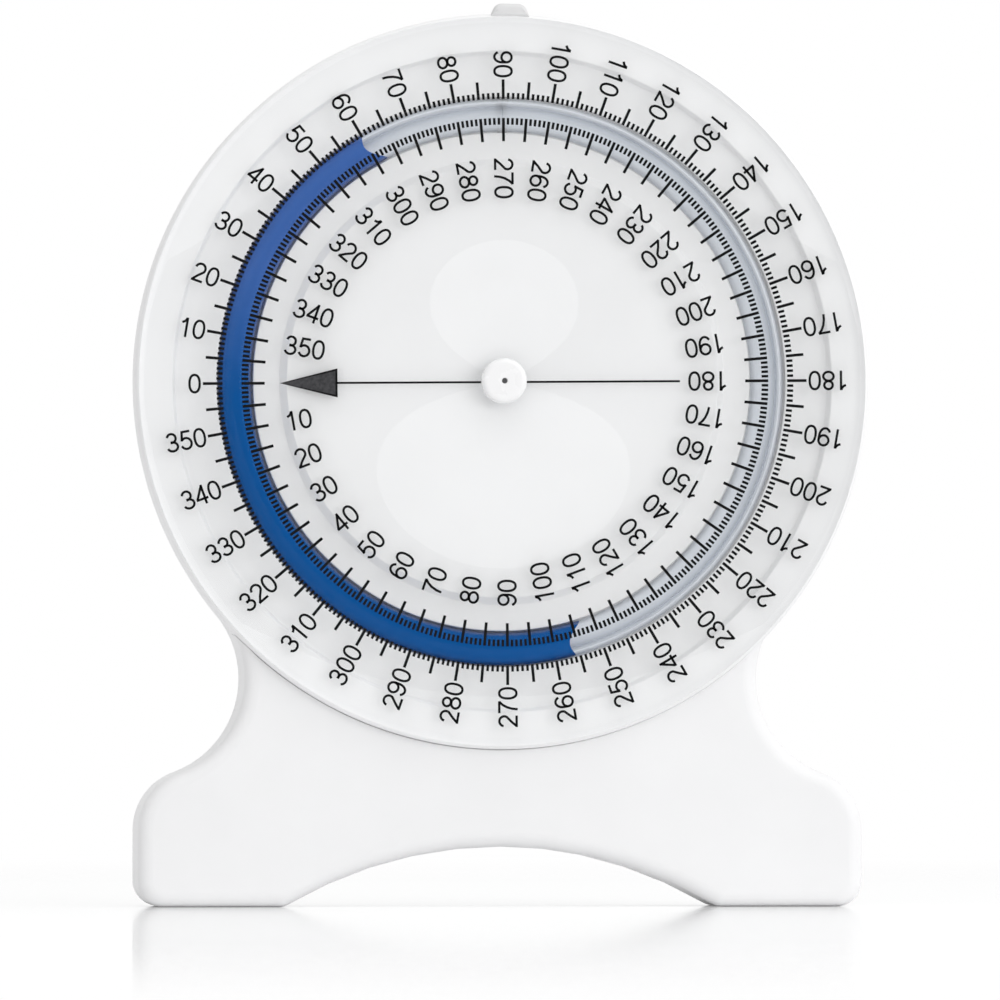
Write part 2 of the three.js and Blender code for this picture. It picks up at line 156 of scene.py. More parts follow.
class ScrewSizes(PropertyGroup):
    """A cover screw"""

    shank_radius: length("Shank radius", "Radius of the shank", 1.4)
    tip_length: length("Tip length", "Length of the taper at the tip", 1.2)
    head_height: length("Head height", "Height of the head", 1.2)
    head_round: length("Head round", "Round of the head's edge", 0.55)
    drive_length: length("Drive length", "Length of the cross in the head", 3.0)
    drive_width: length("Drive width", "Width of an arm of the cross", 0.7)
    drive_depth: length("Drive depth", "Depth of the cross", 0.75)
    drive_floor_share: share("Drive floor", "Share of the cross's size left at its floor", 0.55)
    flats: count("Flats", "Flats round a screw", 48)
    round_steps: count("Round steps", "Steps across the round of the head", 8)


class DialSizes(PropertyGroup):
    """The white plate, its rim and its lug"""

    bore: length("Bore", "Radius of the hole for the pin", 3.1)
    seat_depth: length("Seat depth", "How far the plate lies behind the rim's front", 2.0)
    plate_wall: length("Plate wall", "Wall of the plate", 1.6)
    rim_round: length("Rim round", "Round of the rim's front edge", 1.8)
    rim_wall: length("Rim wall", "Wall of the rim", 1.8)
    rim_edge: length("Rim edge", "White edge left outside the window", 0.55)
    window_gap: length("Window gap", "Gap round the window", 0.02)
    lip_round: length("Lip round", "Round of the fine edges", 0.25)
    window_edge: length("Window edge", "Round of the window's bore and back edges", 0.05)
    inner_step: length("Inner step", "Inset of the trough's inner edge from the rim", 24.7)
    inner_run: length("Inner run", "How far the inner step slopes", 1.1)
    outer_step: length("Outer step", "Inset of the trough's outer edge from the rim", 6.1)
    outer_run: length("Outer run", "How far the outer step slopes", 0.5)
    trough_depth: length("Trough depth", "Depth of the trough round the tube", 1.8)
    step_round: length("Step round", "Round of the steps' edges", 0.35)
    boss_radius: length("Boss radius", "Radius of the boss behind the plate", 8.0)
    lug_mark: degrees("Lug mark", "Where the lug stands on the rim", 91.1)
    lug_width: length("Lug width", "Width of the lug", 6.5)
    lug_height: length("Lug height", "How far the lug stands out", 1.7)
    lug_corner: length("Lug corner", "Round of its corners", 1.5)
    lug_edge: length("Lug edge", "Round of its edges", 0.8)
    lug_sink: length("Lug sink", "How far its foot reaches into the rim", 0.5)
    lug_slope: length("Lug slope", "How far each side leans in", 0.9)
    lug_front: length("Lug front", "How far its front lies behind the rim's", 0.4)
    lug_depth: length("Lug depth", "Its size along the axis", 2.4)
    flats: count("Flats", "Flats round the dial", 432)
    groove_steps: count("Groove steps", "Steps across the tube's groove", 22)
    corner_steps: count("Corner steps", "Steps across a rounded corner", 6)


class TubeSizes(PropertyGroup):
    """The ring of tube, its joint and the liquid"""

    ring_inset: length("Ring inset", "Inset of the ring's middle line from the rim", 16.4)
    radius: length("Radius", "Outer radius of the tube", 2.7)
    wall: length("Wall", "Wall of the tube", 0.5)
    seat_gap: length("Seat gap", "Gap between the tube and its groove", 0.2)
    window_gap: length("Window gap", "Gap between the tube and the window", 0.5)
    joint_mark: degrees("Joint mark", "Where the tube's ends meet", 90.0)
    joint_gap: length("Joint gap", "Gap between the ends", 0.04)
    sleeve_length: length("Sleeve length", "Length of the joint sleeve", 1.6)
    sleeve_gap: length("Sleeve gap", "Gap between tube and sleeve", 0.1)
    sleeve_wall: length("Sleeve wall", "Wall of the sleeve", 0.25)
    liquid_wet: length("Liquid wetting", "How far the liquid reaches into the bore's wall", 0.03)
    liquid_top: degrees("Liquid top", "Where the liquid ends near the top", 59.4)
    liquid_bottom: degrees("Liquid bottom", "Where the liquid ends near the foot", -104.5)
    nose_reach: length("Nose reach", "How far the liquid runs past the bubble's nose", 1.5)
    nose_middle_share: share("Nose middle", "Where the nose's tip lies across the bore", 0.35)
    around: count("Around", "Flats round the tube", 64)
    end_rings: count("End rings", "Rings of points across each end of the liquid", 9)
    along: count("Along", "Flats in a full ring", 640)


class PrintSizes(PropertyGroup):
    """The scales, numbers and pointer printed on the window"""

    thickness: length("Thickness", "How far the ink stands on the window", 0.03)
    sink: length("Sink", "How far the ink reaches into the window", 0.01)
    mark_width: length("Mark width", "Width of a one degree mark", 0.42)
    long_mark_width: length("Long mark width", "Width of a longer mark", 0.47)
    outer_start: length("Outer start", "Radius where the outer scale's marks start", 46.2)
    outer_end: length("Outer end", "Radius where its one degree marks end", 47.2)
    outer_five_end: length("Outer five end", "Radius where its five degree marks end", 49.08)
    outer_ten_end: length("Outer ten end", "Radius where its ten degree marks end", 49.38)
    inner_start: length("Inner start", "Radius where its one degree marks start", 42.0)
    inner_long_start: length("Inner long start", "Radius where its longer marks start", 39.3)
    inner_end: length("Inner end", "Radius where its marks end", 43.1)
    outer_text: length("Outer numbers", "Radius of the outer numbers' inner end", 49.68)
    inner_text: length("Inner numbers", "Radius of the inner numbers' outer end", 36.55)
    text_height: length("Number height", "Height of a digit", 3.2)
    stroke_share: share("Stroke", "Width of a digit's stroke as a share of its height", 0.124)
    widening: share("Widening", "How much wider than its drawing a digit is", 1.06)
    advance_share: share("Advance", "Step from digit to digit as a share of the height", 0.706)
    pointer_tip: length("Pointer tip", "Radius of the pointer's tip", 36.7)
    pointer_base: length("Pointer base", "Radius of the pointer's base", 27.6)
    pointer_half: length("Pointer half width", "Half of the pointer's base", 2.15)
    line_width: length("Line width", "Width of the line through the hub", 0.34)
    line_end: length("Line end", "Where the line ends, past the hub", 28.6)
    off_right: length("Off to the right", "How far the print lies right of the axis", 0.31)
    off_down: length("Off downwards", "How far the print lies below the axis", 0.15)
    off_turn: degrees("Turned", "How far the print is turned against the clock", 0.44)


class CapSizes(PropertyGroup):
    """The hub's cap"""

    radius: length("Radius", "Radius of the cap", 3.7)
    edge_round: length("Edge round", "Round of its front edge", 0.95)
    dimple_radius: length("Dimple radius", "Radius of the pin hole", 0.46)
    dimple_depth: length("Dimple depth", "Depth of the pin hole", 0.5)
    dimple_edge: length("Dimple edge", "Round of its edge", 0.12)
    socket_radius: length("Socket radius", "Radius of the socket for the pin's nose", 1.7)
    socket_depth: length("Socket depth", "Depth of the socket", 1.8)
    flats: count("Flats", "Flats round the cap", 96)
    round_steps: count("Round steps", "Steps across the round of an edge", 8)


class FinishColours(PropertyGroup):
    """Colours of the finishes"""

    stand_white: colour("Stand", "Satin white of the stand", (0.905, 0.905, 0.91))
    dial_white: colour("Dial", "White of the dial plate", (0.93, 0.93, 0.935))
    cap_white: colour("Cap", "White of the hub cap", (0.93, 0.93, 0.935))
    # The liquid's colour higher up is lighter by painted light.
    liquid_blue: colour("Liquid above", "Dyed liquid higher up", (0.057, 0.155, 0.49))
    liquid_deep: colour("Liquid below", "Dyed liquid low down", (0.0, 0.1, 0.375))
    tube_clear: colour("Tube", "What each wall of the tube lets through", (0.99, 0.99, 0.99))
    tube_haze: colour("Tube haze", "Milky look of the tube's edge", (0.95, 0.955, 0.965))
    bore_haze: colour("Bore haze", "Fine haze in the tube's bore", (0.88, 0.92, 0.98))
    window_tint: colour("Window", "Tint of the clear window", (0.996, 0.998, 0.998))
    ink: colour("Ink", "Black print", (0.004, 0.004, 0.0045))
    charcoal: colour("Charcoal", "Dark grey print of the pointer", (0.045, 0.045, 0.048))
    steel: colour("Steel", "Plated steel", (0.62, 0.63, 0.65))
    nylon: colour("Nylon", "Natural nylon", (0.80, 0.78, 0.70))


class StageSizes(PropertyGroup):
    """Camera, lamps and floor"""

    azimuth: degrees("Azimuth", "How far the camera stands to the right of the front", -4.9)
    elevation: degrees("Elevation", "How far above level the camera looks from", -1.2)
    distance: length("Distance", "From the camera to the dial's print", 1800.0)
    photo_width: share("Photo width", "Width in pixels", 1000.0)
    pixel_size: length("Pixel size", "What a pixel spans at the print", 0.163)
    dial_right: share("Dial right", "Pixel across of the dial's centre", 503.5)
    dial_down: share("Dial down", "Pixel down of the dial's centre", 381.15)
    floor_half: length("Floor half", "Half of the floor's side", 4000.0)
    floor_core: length("Floor core", "Half of the line that the lit floor surrounds", 60.0)
    floor_near: length("Floor near", "Width of the lit floor round that line", 300.0)
    floor_far: length("Floor far", "Where the floor has faded to white", 700.0)
    floor_white: colour("Floor white", "Colour of the lit floor", (0.93, 0.93, 0.935))
    floor_gloss: colour("Floor gloss", "Colour of what the floor mirrors", (0.95, 0.95, 0.95))
    floor_rough: share("Floor roughness", "How blurred the floor's mirror is", 0.07)
    floor_index: share("Floor index", "Index that the mirror's strength follows", 1.3)
    floor_lift: share("Floor lift", "Glow that keeps the lit floor white", 0.11)
    floor_shine: share("Floor shine", "How strongly the floor mirrors", 0.8)
    sky: share("Sky", "Strength of the light from all round", 0.72)
    lean_right: share("Lean right", "How much brighter that light is from the right", 0.48)
    lean_front: share("Lean front", "How much brighter it is from the front", 0.5)
    lean_up: share("Lean up", "How much brighter it is from above", 0.1)
    dark_front: share("Dark front", "What the dark of the room in front reflects as", 0.04)
    near_clip: length("Near clip", "Where the camera's view starts", 10.0)
    far_clip: length("Far clip", "Where the camera's view ends", 20000.0)


PROPERTY_GROUPS = {
    "stand_sizes": StandSizes,
    "screw_sizes": ScrewSizes,
    "dial_sizes": DialSizes,
    "tube_sizes": TubeSizes,
    "print_sizes": PrintSizes,
    "cap_sizes": CapSizes,
    "finish_colours": FinishColours,
    "stage_sizes": StageSizes,
}


# Curves and grids


def arc(centre, radius, start, end, steps):
    """Points on a circle: its centre plus the radius times the cosine and sine of even angles."""
    angle = np.linspace(start, end, steps + 1)
    return centre + radius * np.column_stack((np.cos(angle), np.sin(angle)))


def unit(vectors):
    """Vectors brought to a length of one."""
    return vectors / np.linalg.norm(vectors, axis=1, keepdims=True)


def kept(points):
    """A curve's points as corners that aren't made round."""
    return [(point, 0) for point in points]


def eased(corners, steps):
    """A closed outline of corners, each a place with the radius that makes it round.

    A corner gives way to an arc that is tangent to both its sides. Its centre lies on the corner's
    bisector at the radius over the sine of half the corner's angle, and its points are turned
    evenly from side to side.
    """
    places = np.array([place for place, _ in corners], float)
    radii = np.array([[radius] for _, radius in corners], float)
    before = unit(np.roll(places, 1, axis=0) - places)
    after = unit(np.roll(places, -1, axis=0) - places)
    half = np.arccos(np.clip((before * after).sum(1, keepdims=True), -1, 1)) / 2
    centre = places + unit(before + after) * radii / np.sin(half)
    first = (places + before * radii / np.tan(half) - centre)[:, None]
    last = (places + after * radii / np.tan(half) - centre)[:, None]
    turn = (math.pi - 2 * half)[:, None]
    part = np.linspace(0, 1, steps + 1)[None, :, None]
    swept = first * np.sin((1 - part) * turn) + last * np.sin(part * turn)
    return (centre[:, None] + swept / np.sin(turn)).reshape(-1, 2)


def quads(rows, columns, wrap_rows=False, wrap_columns=False):
    """The faces between neighbouring points of a grid, as rows of four indices."""
    index = np.arange(rows * columns).reshape(rows, columns)
    if wrap_rows:
        index = np.vstack((index, index[:1]))
    if wrap_columns:
        index = np.hstack((index, index[:, :1]))
    corners = (index[:-1, :-1], index[1:, :-1], index[1:, 1:], index[:-1, 1:])
    return np.stack(corners, axis=-1).reshape(-1, 4)


def around_dial(radius, angle):
    """Places across and up of a radius and a mark: the cosine to the left, and the sine up."""
    return -radius * np.cos(angle), AXIS_HEIGHT + radius * np.sin(angle)


def turned(profile, flats, centre=(0.0, AXIS_HEIGHT)):
    """A closed profile of radius and depth carried round an axis along Y.

    A point lies at its radius times the sine of the angle across, its depth along Y, and its radius
    times the cosine up from the centre.
    """
    angle = np.linspace(0, 2 * math.pi, flats, endpoint=False)
    radius = profile[:, :1]
    across = centre[0] + radius * np.sin(angle)
    up = centre[1] + radius * np.cos(angle)
    depth = np.broadcast_to(profile[:, 1:], across.shape)
    points = np.stack((across, depth, up), axis=-1)
    return points.reshape(-1, 3), quads(*across.shape, wrap_rows=True, wrap_columns=True).tolist()


def stacked(outline, levels, centre=(0.0, 0.0), turn=0.0):
    """A solid of outlines stacked along Y.

    outline gives the points across and up at an inset, and levels lists each inset with its depth.
    The first and last outlines are closed by a face. All is turned about Y and moved to the centre.
    """
    rings = [outline(inset) for inset, _ in levels]
    flat = np.stack(rings)
    across = flat[..., 0] * math.cos(turn) + flat[..., 1] * math.sin(turn) + centre[0]
    up = flat[..., 1] * math.cos(turn) - flat[..., 0] * math.sin(turn) + centre[1]
    depth = np.broadcast_to(np.array([level for _, level in levels])[:, None], across.shape)
    rows, columns = across.shape
    faces = quads(rows, columns, wrap_columns=True).tolist()
    index = np.arange(rows * columns).reshape(rows, columns)
    faces += [index[0].tolist(), index[-1, ::-1].tolist()]
    return np.stack((across, depth, up), axis=-1).reshape(-1, 3), faces


def edge_levels(front, back, front_round, back_round, steps, margin):
    """Insets and depths of a slab's edge: a quarter circle at the back, and another at the front.

    An inset is the radius less its part along the cosine, and a depth lies in from its face by the
    radius less its part along the sine. A margin of flat face is kept inside each round.
    """
    angle = np.linspace(0, math.pi / 2, steps + 1)

    def side(face, inwards, radius):
        if not radius:
            return [(0, face)]
        depths = face + inwards * radius * (1 - np.sin(angle))
        return [*zip(radius * (1 - np.cos(angle)), depths), (radius + margin, face)]

    return side(back, -1, back_round)[::-1] + side(front, 1, front_round)


def merged(parts):
    """Several sets of points and faces as one."""
    points, faces, start = [], [], 0
    for part_points, part_faces in parts:
        points.append(part_points)
        faces += [[start + i for i in face] for face in part_faces]
        start += len(part_points)
    return np.vstack(points), faces


def mesh_of(name, surface):
    """A mesh of points and faces, with its doubles merged and its faces pointing outwards."""
    points, faces = surface
    mesh = bpy.data.meshes.new(name)
    mesh.from_pydata(points.tolist(), [], faces)
    shape = bmesh.new()
    shape.from_mesh(mesh)
    bmesh.ops.remove_doubles(shape, verts=shape.verts, dist=SAME_POINT)
    bmesh.ops.dissolve_degenerate(shape, edges=shape.edges, dist=SAME_POINT)
    bmesh.ops.recalc_face_normals(shape, faces=shape.faces)
    shape.to_mesh(mesh)
    shape.free()
    return mesh


def object_of(name, surface):
    """A linked object at the origin that holds the surface."""
    made = bpy.data.objects.new(name, mesh_of(name, surface))
    bpy.context.scene.collection.objects.link(made)
    return made


def carve(target, *tools):
    """Cuts each tool's solid out of the target, and removes the tool."""
    for tool in tools:
        cut = target.modifiers.new("cut", "BOOLEAN")
        cut.operation = "DIFFERENCE"
        cut.solver = "EXACT"
        cut.object = tool
        bpy.context.view_layer.update()
        graph = bpy.context.evaluated_depsgraph_get()
        left = bpy.data.meshes.new_from_object(target.evaluated_get(graph))
        target.modifiers.remove(cut)
        old = target.data
        target.data = left
        bpy.data.meshes.remove(old)
        spare = tool.data
        bpy.data.objects.remove(tool)
        bpy.data.meshes.remove(spare)
    if not target.data.polygons:
        raise RuntimeError(f"nothing is left of {target.name} after its cuts")
    return target


# The angle in degrees past which an edge between two faces stays sharp
CREASE = 35.0


def finish_piece(made, material, body, nodes, weighted=False):
    """Shades a piece, gives it a material, ties it to its body, and hides the nodes it stands for.
    """
    mesh = made.data
    mesh.name = made.name
    mesh.materials.clear()
    mesh.materials.append(material)
    mesh.shade_smooth()
    mesh.set_sharp_from_angle(angle=math.radians(CREASE))
    if weighted:
        made.modifiers.new("even_shading", "WEIGHTED_NORMAL").keep_sharp = True
    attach(made, body)
    if nodes:
        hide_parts(*nodes)


# Finishes


def node(tree, kind, sockets=None, **settings):
    """Adds a shader node: plain values are set on its sockets, and sockets given are linked."""
    made = tree.nodes.new("ShaderNode" + kind)
    for key, value in settings.items():
        setattr(made, key, value)
    for key, value in (sockets or {}).items():
        if isinstance(value, bpy.types.NodeSocket):
            tree.links.new(value, made.inputs[key])
        else:
            made.inputs[key].default_value = value
    return made


def signal(tree, kind, sockets=None, **settings):
    """The first output of a shader node that is added in the same way."""
    return node(tree, kind, sockets, **settings).outputs[0]


def blank(name):
    """A material whose tree is empty."""
    material = bpy.data.materials.new(name)
    material.use_nodes = True
    material.node_tree.nodes.clear()
    return material, material.node_tree


def shown(material, shader):
    """The material, with its output taking the shader."""
    node(material.node_tree, "OutputMaterial", {0: shader})
    return material


def spot(tree):
    """A point's place on the object's own coordinates."""
    return node(tree, "TexCoord").outputs["Object"]


def noise(tree, size, detail=2.0):
    """Noise whose patches are about the given size."""
    return signal(tree, "TexNoise", {"Vector": spot(tree), "Scale": 1 / size, "Detail": detail})


def ranged(tree, value, start, end, low=0.0, high=1.0, way="LINEAR"):
    """A value's run from start to end, carried onto that from low to high and held at its ends."""
    sockets = {"Value": value, "From Min": start, "From Max": end, "To Min": low, "To Max": high}
    return signal(tree, "MapRange", sockets, interpolation_type=way)


def between(tree, factor, low, high):
    """A factor carried onto the range from low to high."""
    return ranged(tree, factor, 0.0, 1.0, low, high)


def tinted(tree, factor, dark, light, start=0.3, end=0.7):
    """A colour between two, by a factor that stays near its middle."""
    ramp = node(tree, "ValToRGB", {"Fac": factor})
    for element, position, tint in zip(ramp.color_ramp.elements, (start, end), (dark, light)):
        element.position = position
        element.color = (*tint, 1)
    return ramp.outputs[0]


def maths(tree, operation, first, second=0.0):
    """A sum, product or other working on one or two values."""
    return signal(tree, "Math", {0: first, 1: second}, operation=operation)


def mixed(tree, factor, first, second):
    """Two shaders, mixed by the second one's share."""
    return signal(tree, "MixShader", {0: factor, 1: first, 2: second})


def relief(tree, height, strength, depth):
    """The normal of a surface that rises with a height."""
    return signal(tree, "Bump", {"Height": height, "Strength": strength, "Distance": depth})


def looked_at(tree):
    """One for what is seen directly, mirrored or through clear plastic, and otherwise nought."""
    path = node(tree, "LightPath").outputs
    seen = maths(tree, "ADD", path["Is Camera Ray"], path["Is Glossy Ray"])
    return maths(tree, "ADD", seen, path["Is Transmission Ray"])


def distance(tree, across, along):
    """The length of the step that goes across and along."""
    step = signal(tree, "CombineXYZ", {0: across, 1: along})
    return node(tree, "VectorMath", {0: step}, operation="LENGTH").outputs["Value"]


def from_axis(tree):
    """A point's distance from the dial's axis."""
    across, _, up = node(tree, "SeparateXYZ", {0: spot(tree)}).outputs
    return distance(tree, across, maths(tree, "SUBTRACT", up, AXIS_HEIGHT))


def times(value, by):
    """A colour made darker or lighter."""
    return tuple(part * by for part in value)


def moulded(name, base, rough, shade=0.975, gloss=0.5, hole=0.0):
    """Moulded plastic: a soft mottle in colour and sheen, and a fine grain in relief.

    Within a pin hole's radius of the dial's axis, the colour is scaled down: painted shade in the
    hole.
    """
    material, tree = blank(name)
    mottle_size, streak_size, grain_size, grain_depth = 14 * MM, 3 * MM, 0.45 * MM, 0.004 * MM
    smoother, rougher = 0.04, 0.06
    skin = tinted(tree, noise(tree, mottle_size), dark=times(base, shade), light=base)
    if hole:
        # Painted shade: inside the pin hole the colour falls to a small share of itself.
        inside, outside, shadow = hole * 0.8, hole * 1.1, 0.12
        light = ranged(tree, from_axis(tree), inside, outside, low=shadow)
        skin = signal(tree, "VectorMath", {0: skin, "Scale": light}, operation="SCALE")
    streak = noise(tree, streak_size, detail=4.0)
    grain = noise(tree, grain_size, detail=3.0)
    sockets = {
        "Base Color": skin,
        "Roughness": between(tree, streak, rough - smoother, rough + rougher),
        "Normal": relief(tree, grain, strength=0.35, depth=grain_depth),
        "IOR": 1.5,
        "Specular IOR Level": gloss,
    }
    return shown(material, signal(tree, "BsdfPrincipled", sockets))


# Places across a bent tube, from the hub's side outwards, with the tint and the share of haze
# there, which paint shade and a highlight across it
# Painted shade: a dark line along the tube's inner edge
TUBE_PAINTED_SHADING = (
    (0.0, (0.93, 0.94, 0.96), 0.1),
    (0.07, (0.97, 0.975, 0.985), 0.1),
    (0.12, (1.0, 1.0, 1.0), 0.0),
    (1.0, (1.0, 1.0, 1.0), 0.0),
)
# Painted shade as a dark band outside the middle, and a painted highlight as a bright milky line
# near the outer edge
BORE_PAINTED_SHADING = (
    (0.1, (1.0, 1.0, 1.0), 0.45),
    (0.45, (0.965, 0.98, 1.0), 0.31),
    (0.73, (0.84, 0.87, 0.92), 0.1),
    (0.82, (0.92, 0.93, 0.95), 0.3),
    (0.87, (1.0, 1.0, 1.0), 0.85),
)


def across_tube(tree, ring, radius, shades):
    """The tint and the milkiness of a bent tube across its width: painted shade and a painted
    highlight in bands along it.

    The place across is the distance from the dial's axis, less the ring's radius, over the tube's
    radius.
    """
    across = ranged(tree, from_axis(tree), ring - radius, ring + radius)
    ramp = node(tree, "ValToRGB", {"Fac": across})
    elements = ramp.color_ramp.elements
    while len(elements) < len(shades):
        elements.new(1.0)
    for element, (where, tint, haze_and_highlight) in zip(elements, shades):
        element.position = where
        element.color = (*tint, haze_and_highlight)
    return ramp.outputs["Color"], ramp.outputs["Alpha"]


def clear(name, tint, index, rough, gloss, across=None, haze=None):
    """Clear plastic: it bends what the camera sees, and lets lamp light and even light through.

    A ray caught inside goes straight on after its fifth turn, so that no edge is black. A bent
    tube takes its tint, and its share of the haze, from the place across it: painted shade and a
    painted highlight along the tube.
    """
    material, tree = blank(name)
    path = node(tree, "LightPath").outputs
    wave_size, wave_depth, most_turns = 22 * MM, 0.02 * MM, 4.5
    wave = noise(tree, wave_size)
    sockets = {
        "Base Color": (*tint, 1),
        "Roughness": rough,
        "IOR": index,
        "Transmission Weight": 1.0,
        "Specular IOR Level": gloss,
        "Normal": relief(tree, wave, strength=0.04, depth=wave_depth),
    }
    if across:
        sockets["Base Color"], haze_and_highlight = across_tube(tree, *across, TUBE_PAINTED_SHADING)
    seen = signal(tree, "BsdfPrincipled", sockets)
    if across:
        white = signal(tree, "BsdfDiffuse", {"Color": (*haze, 1)})
        seen = mixed(tree, haze_and_highlight, seen, white)
    through = signal(tree, "BsdfTransparent", {"Color": (*tint, 1)})
    trapped = maths(tree, "GREATER_THAN", path["Ray Depth"], most_turns)
    straight = maths(tree, "MAXIMUM", path["Is Diffuse Ray"], trapped)
    seen = mixed(tree, straight, seen, through)
    return shown(material, mixed(tree, path["Is Shadow Ray"], seen, through))


def hazed_bore(name, haze, ring, radius):
    """The bore of a bent tube: a fine haze that the eye looks through, and that light passes; its
    tint and haze across it paint a dark band and a bright highlight line.
    """
    material, tree = blank(name)
    cloud_size = 9 * MM
    tint, haze_and_highlight = across_tube(tree, ring, radius, BORE_PAINTED_SHADING)
    cloud = between(tree, noise(tree, cloud_size), low=0.85, high=1.15)
    haze_and_highlight = maths(tree, "MULTIPLY", maths(tree, "MULTIPLY", haze_and_highlight, cloud), looked_at(tree))
    through = signal(tree, "BsdfTransparent", {"Color": tint})
    white = signal(tree, "BsdfDiffuse", {"Color": (*haze, 1)})
    return shown(material, mixed(tree, haze_and_highlight, through, white))


def dyed_liquid(name, deep, light):
    """Dyed liquid: deep low down and lighter higher up by painted light, with faint clouds of dye,
    and wet.
    """
    material, tree = blank(name)
    cloud_size, deep_below, painted_light_above = 6 * MM, 30 * MM, 45 * MM
    cloud_reach = 0.08
    cloud = noise(tree, cloud_size, detail=3.0)
    up = node(tree, "SeparateXYZ", {0: spot(tree)}).outputs[2]
    # Painted light: the colour runs from the deep blue low down to a lighter blue higher up.
    rise = ranged(tree, up, AXIS_HEIGHT - deep_below, AXIS_HEIGHT + painted_light_above, way="SMOOTHSTEP")
    rise = maths(tree, "ADD", rise, between(tree, cloud, -cloud_reach, cloud_reach))
    sockets = {
        "Base Color": tinted(tree, rise, dark=deep, light=light),
        "Roughness": between(tree, cloud, low=0.3, high=0.4),
        "IOR": 1.36,
        "Specular IOR Level": 0.1,
    }
    return shown(material, signal(tree, "BsdfPrincipled", sockets))


def printed(name, base, rough):
    """Screen-printed ink: near flat, a little uneven in cover and sheen."""
    material, tree = blank(name)
    speckle_size, cover_depth = 0.5 * MM, 0.003 * MM
    smoother, rougher = 0.05, 0.1
    speckle = noise(tree, speckle_size, detail=3.0)
    sockets = {
        "Base Color": tinted(tree, speckle, dark=times(base, 0.8), light=times(base, 1.5)),
        "Roughness": between(tree, speckle, rough - smoother, rough + rougher),
        "Normal": relief(tree, speckle, strength=0.3, depth=cover_depth),
        "Specular IOR Level": 0.15,
    }
    return shown(material, signal(tree, "BsdfPrincipled", sockets))


def plated(name, base):
    """Plated steel: fine turning marks, in sheen and relief."""
    material, tree = blank(name)
    stain_size, mark_size, mark_depth = 2 * MM, 0.25 * MM, 0.005 * MM
    marks = noise(tree, mark_size, detail=4.0)
    sockets = {
        "Base Color": tinted(tree, noise(tree, stain_size), dark=times(base, 0.9), light=base),
        "Metallic": 1.0,
        "Roughness": between(tree, marks, low=0.24, high=0.42),
        "Normal": relief(tree, marks, strength=0.3, depth=mark_depth),
    }
    return shown(material, signal(tree, "BsdfPrincipled", sockets))


# Stand


def circles_cross(first, first_radius, second, second_radius):
    """Where two circles cross towards +X, by the two right triangles on the line of centres."""
    apart = np.linalg.norm(second - first)
    along = (first_radius**2 - second_radius**2 + apart**2) / (2 * apart)
    aside = math.sqrt(max(first_radius**2 - along**2, 0.0))
    towards = (second - first) / apart
    return first + towards * along + np.array((towards[1], -towards[0])) * aside


def stand_outline(stand, inset, steps):
    """The stand's outline, moved inwards: arch, foot, shoulder, neck and disc as tangent arcs."""
    disc_radius = DIAL_RADIUS - stand.dial_overhang
    disc = np.array((0.0, AXIS_HEIGHT))
    shoulder = np.array((STAND_WIDTH / 2 - stand.shoulder_radius, stand.shoulder_height))
    neck = circles_cross(
        shoulder, stand.shoulder_radius + stand.neck_radius, disc, disc_radius + stand.neck_radius
    )
    foot = (STAND_WIDTH / 2 - stand.foot_corner, stand.foot_corner)
    arch = (0.0, stand.arch_height - stand.arch_radius)
    rise = stand.arch_corner - arch[1]
    reach = math.sqrt((stand.arch_radius + stand.arch_corner) ** 2 - rise**2)
    corner = (reach, stand.arch_corner)
    arch_angle = math.atan2(rise, reach)
    shoulder_angle = math.atan2(neck[1] - shoulder[1], neck[0] - shoulder[0])
    disc_angle = math.atan2(neck[1] - disc[1], neck[0] - disc[0])
    upright = math.pi / 2

    def bend(centre, radius, start, end):
        turns = max(2, round(steps * abs(end - start) / upright))
        return arc(centre, max(radius, SAME_POINT), start, end, turns)

    right = np.vstack(
        (
            bend(arch, stand.arch_radius + inset, upright, arch_angle),
            bend(corner, stand.arch_corner - inset, arch_angle + math.pi, 3 * upright),
            bend(foot, stand.foot_corner - inset, -upright, 0),
            bend(shoulder, stand.shoulder_radius - inset, 0, shoulder_angle),
            bend(neck, stand.neck_radius + inset, shoulder_angle + math.pi, disc_angle + math.pi),
            bend(disc, disc_radius - inset, disc_angle, upright),
        )
    )
    left = right[::-1] * (-1, 1)
    return np.vstack((right, left[1:-1]))


def stand_slab(name, stand, levels, steps):
    """A piece with the stand's outline, moved inwards by each level's inset."""
    return object_of(name, stacked(lambda inset: stand_outline(stand, inset, steps), levels))


def screw_places():
    """Middle across and up, head radius, tip and back of each cover screw, from the frame."""
    places = []
    for low, high in map(box, SCREW_NODES):
        places.append((((low + high) / 2)[::2], (high[0] - low[0]) / 2, low[1], high[1]))
    return places


def rod(radius, front, back, flats, centre):
    """A cylinder along Y."""
    return turned(np.array(((0, front), (radius, front), (radius, back), (0, back))), flats, centre)


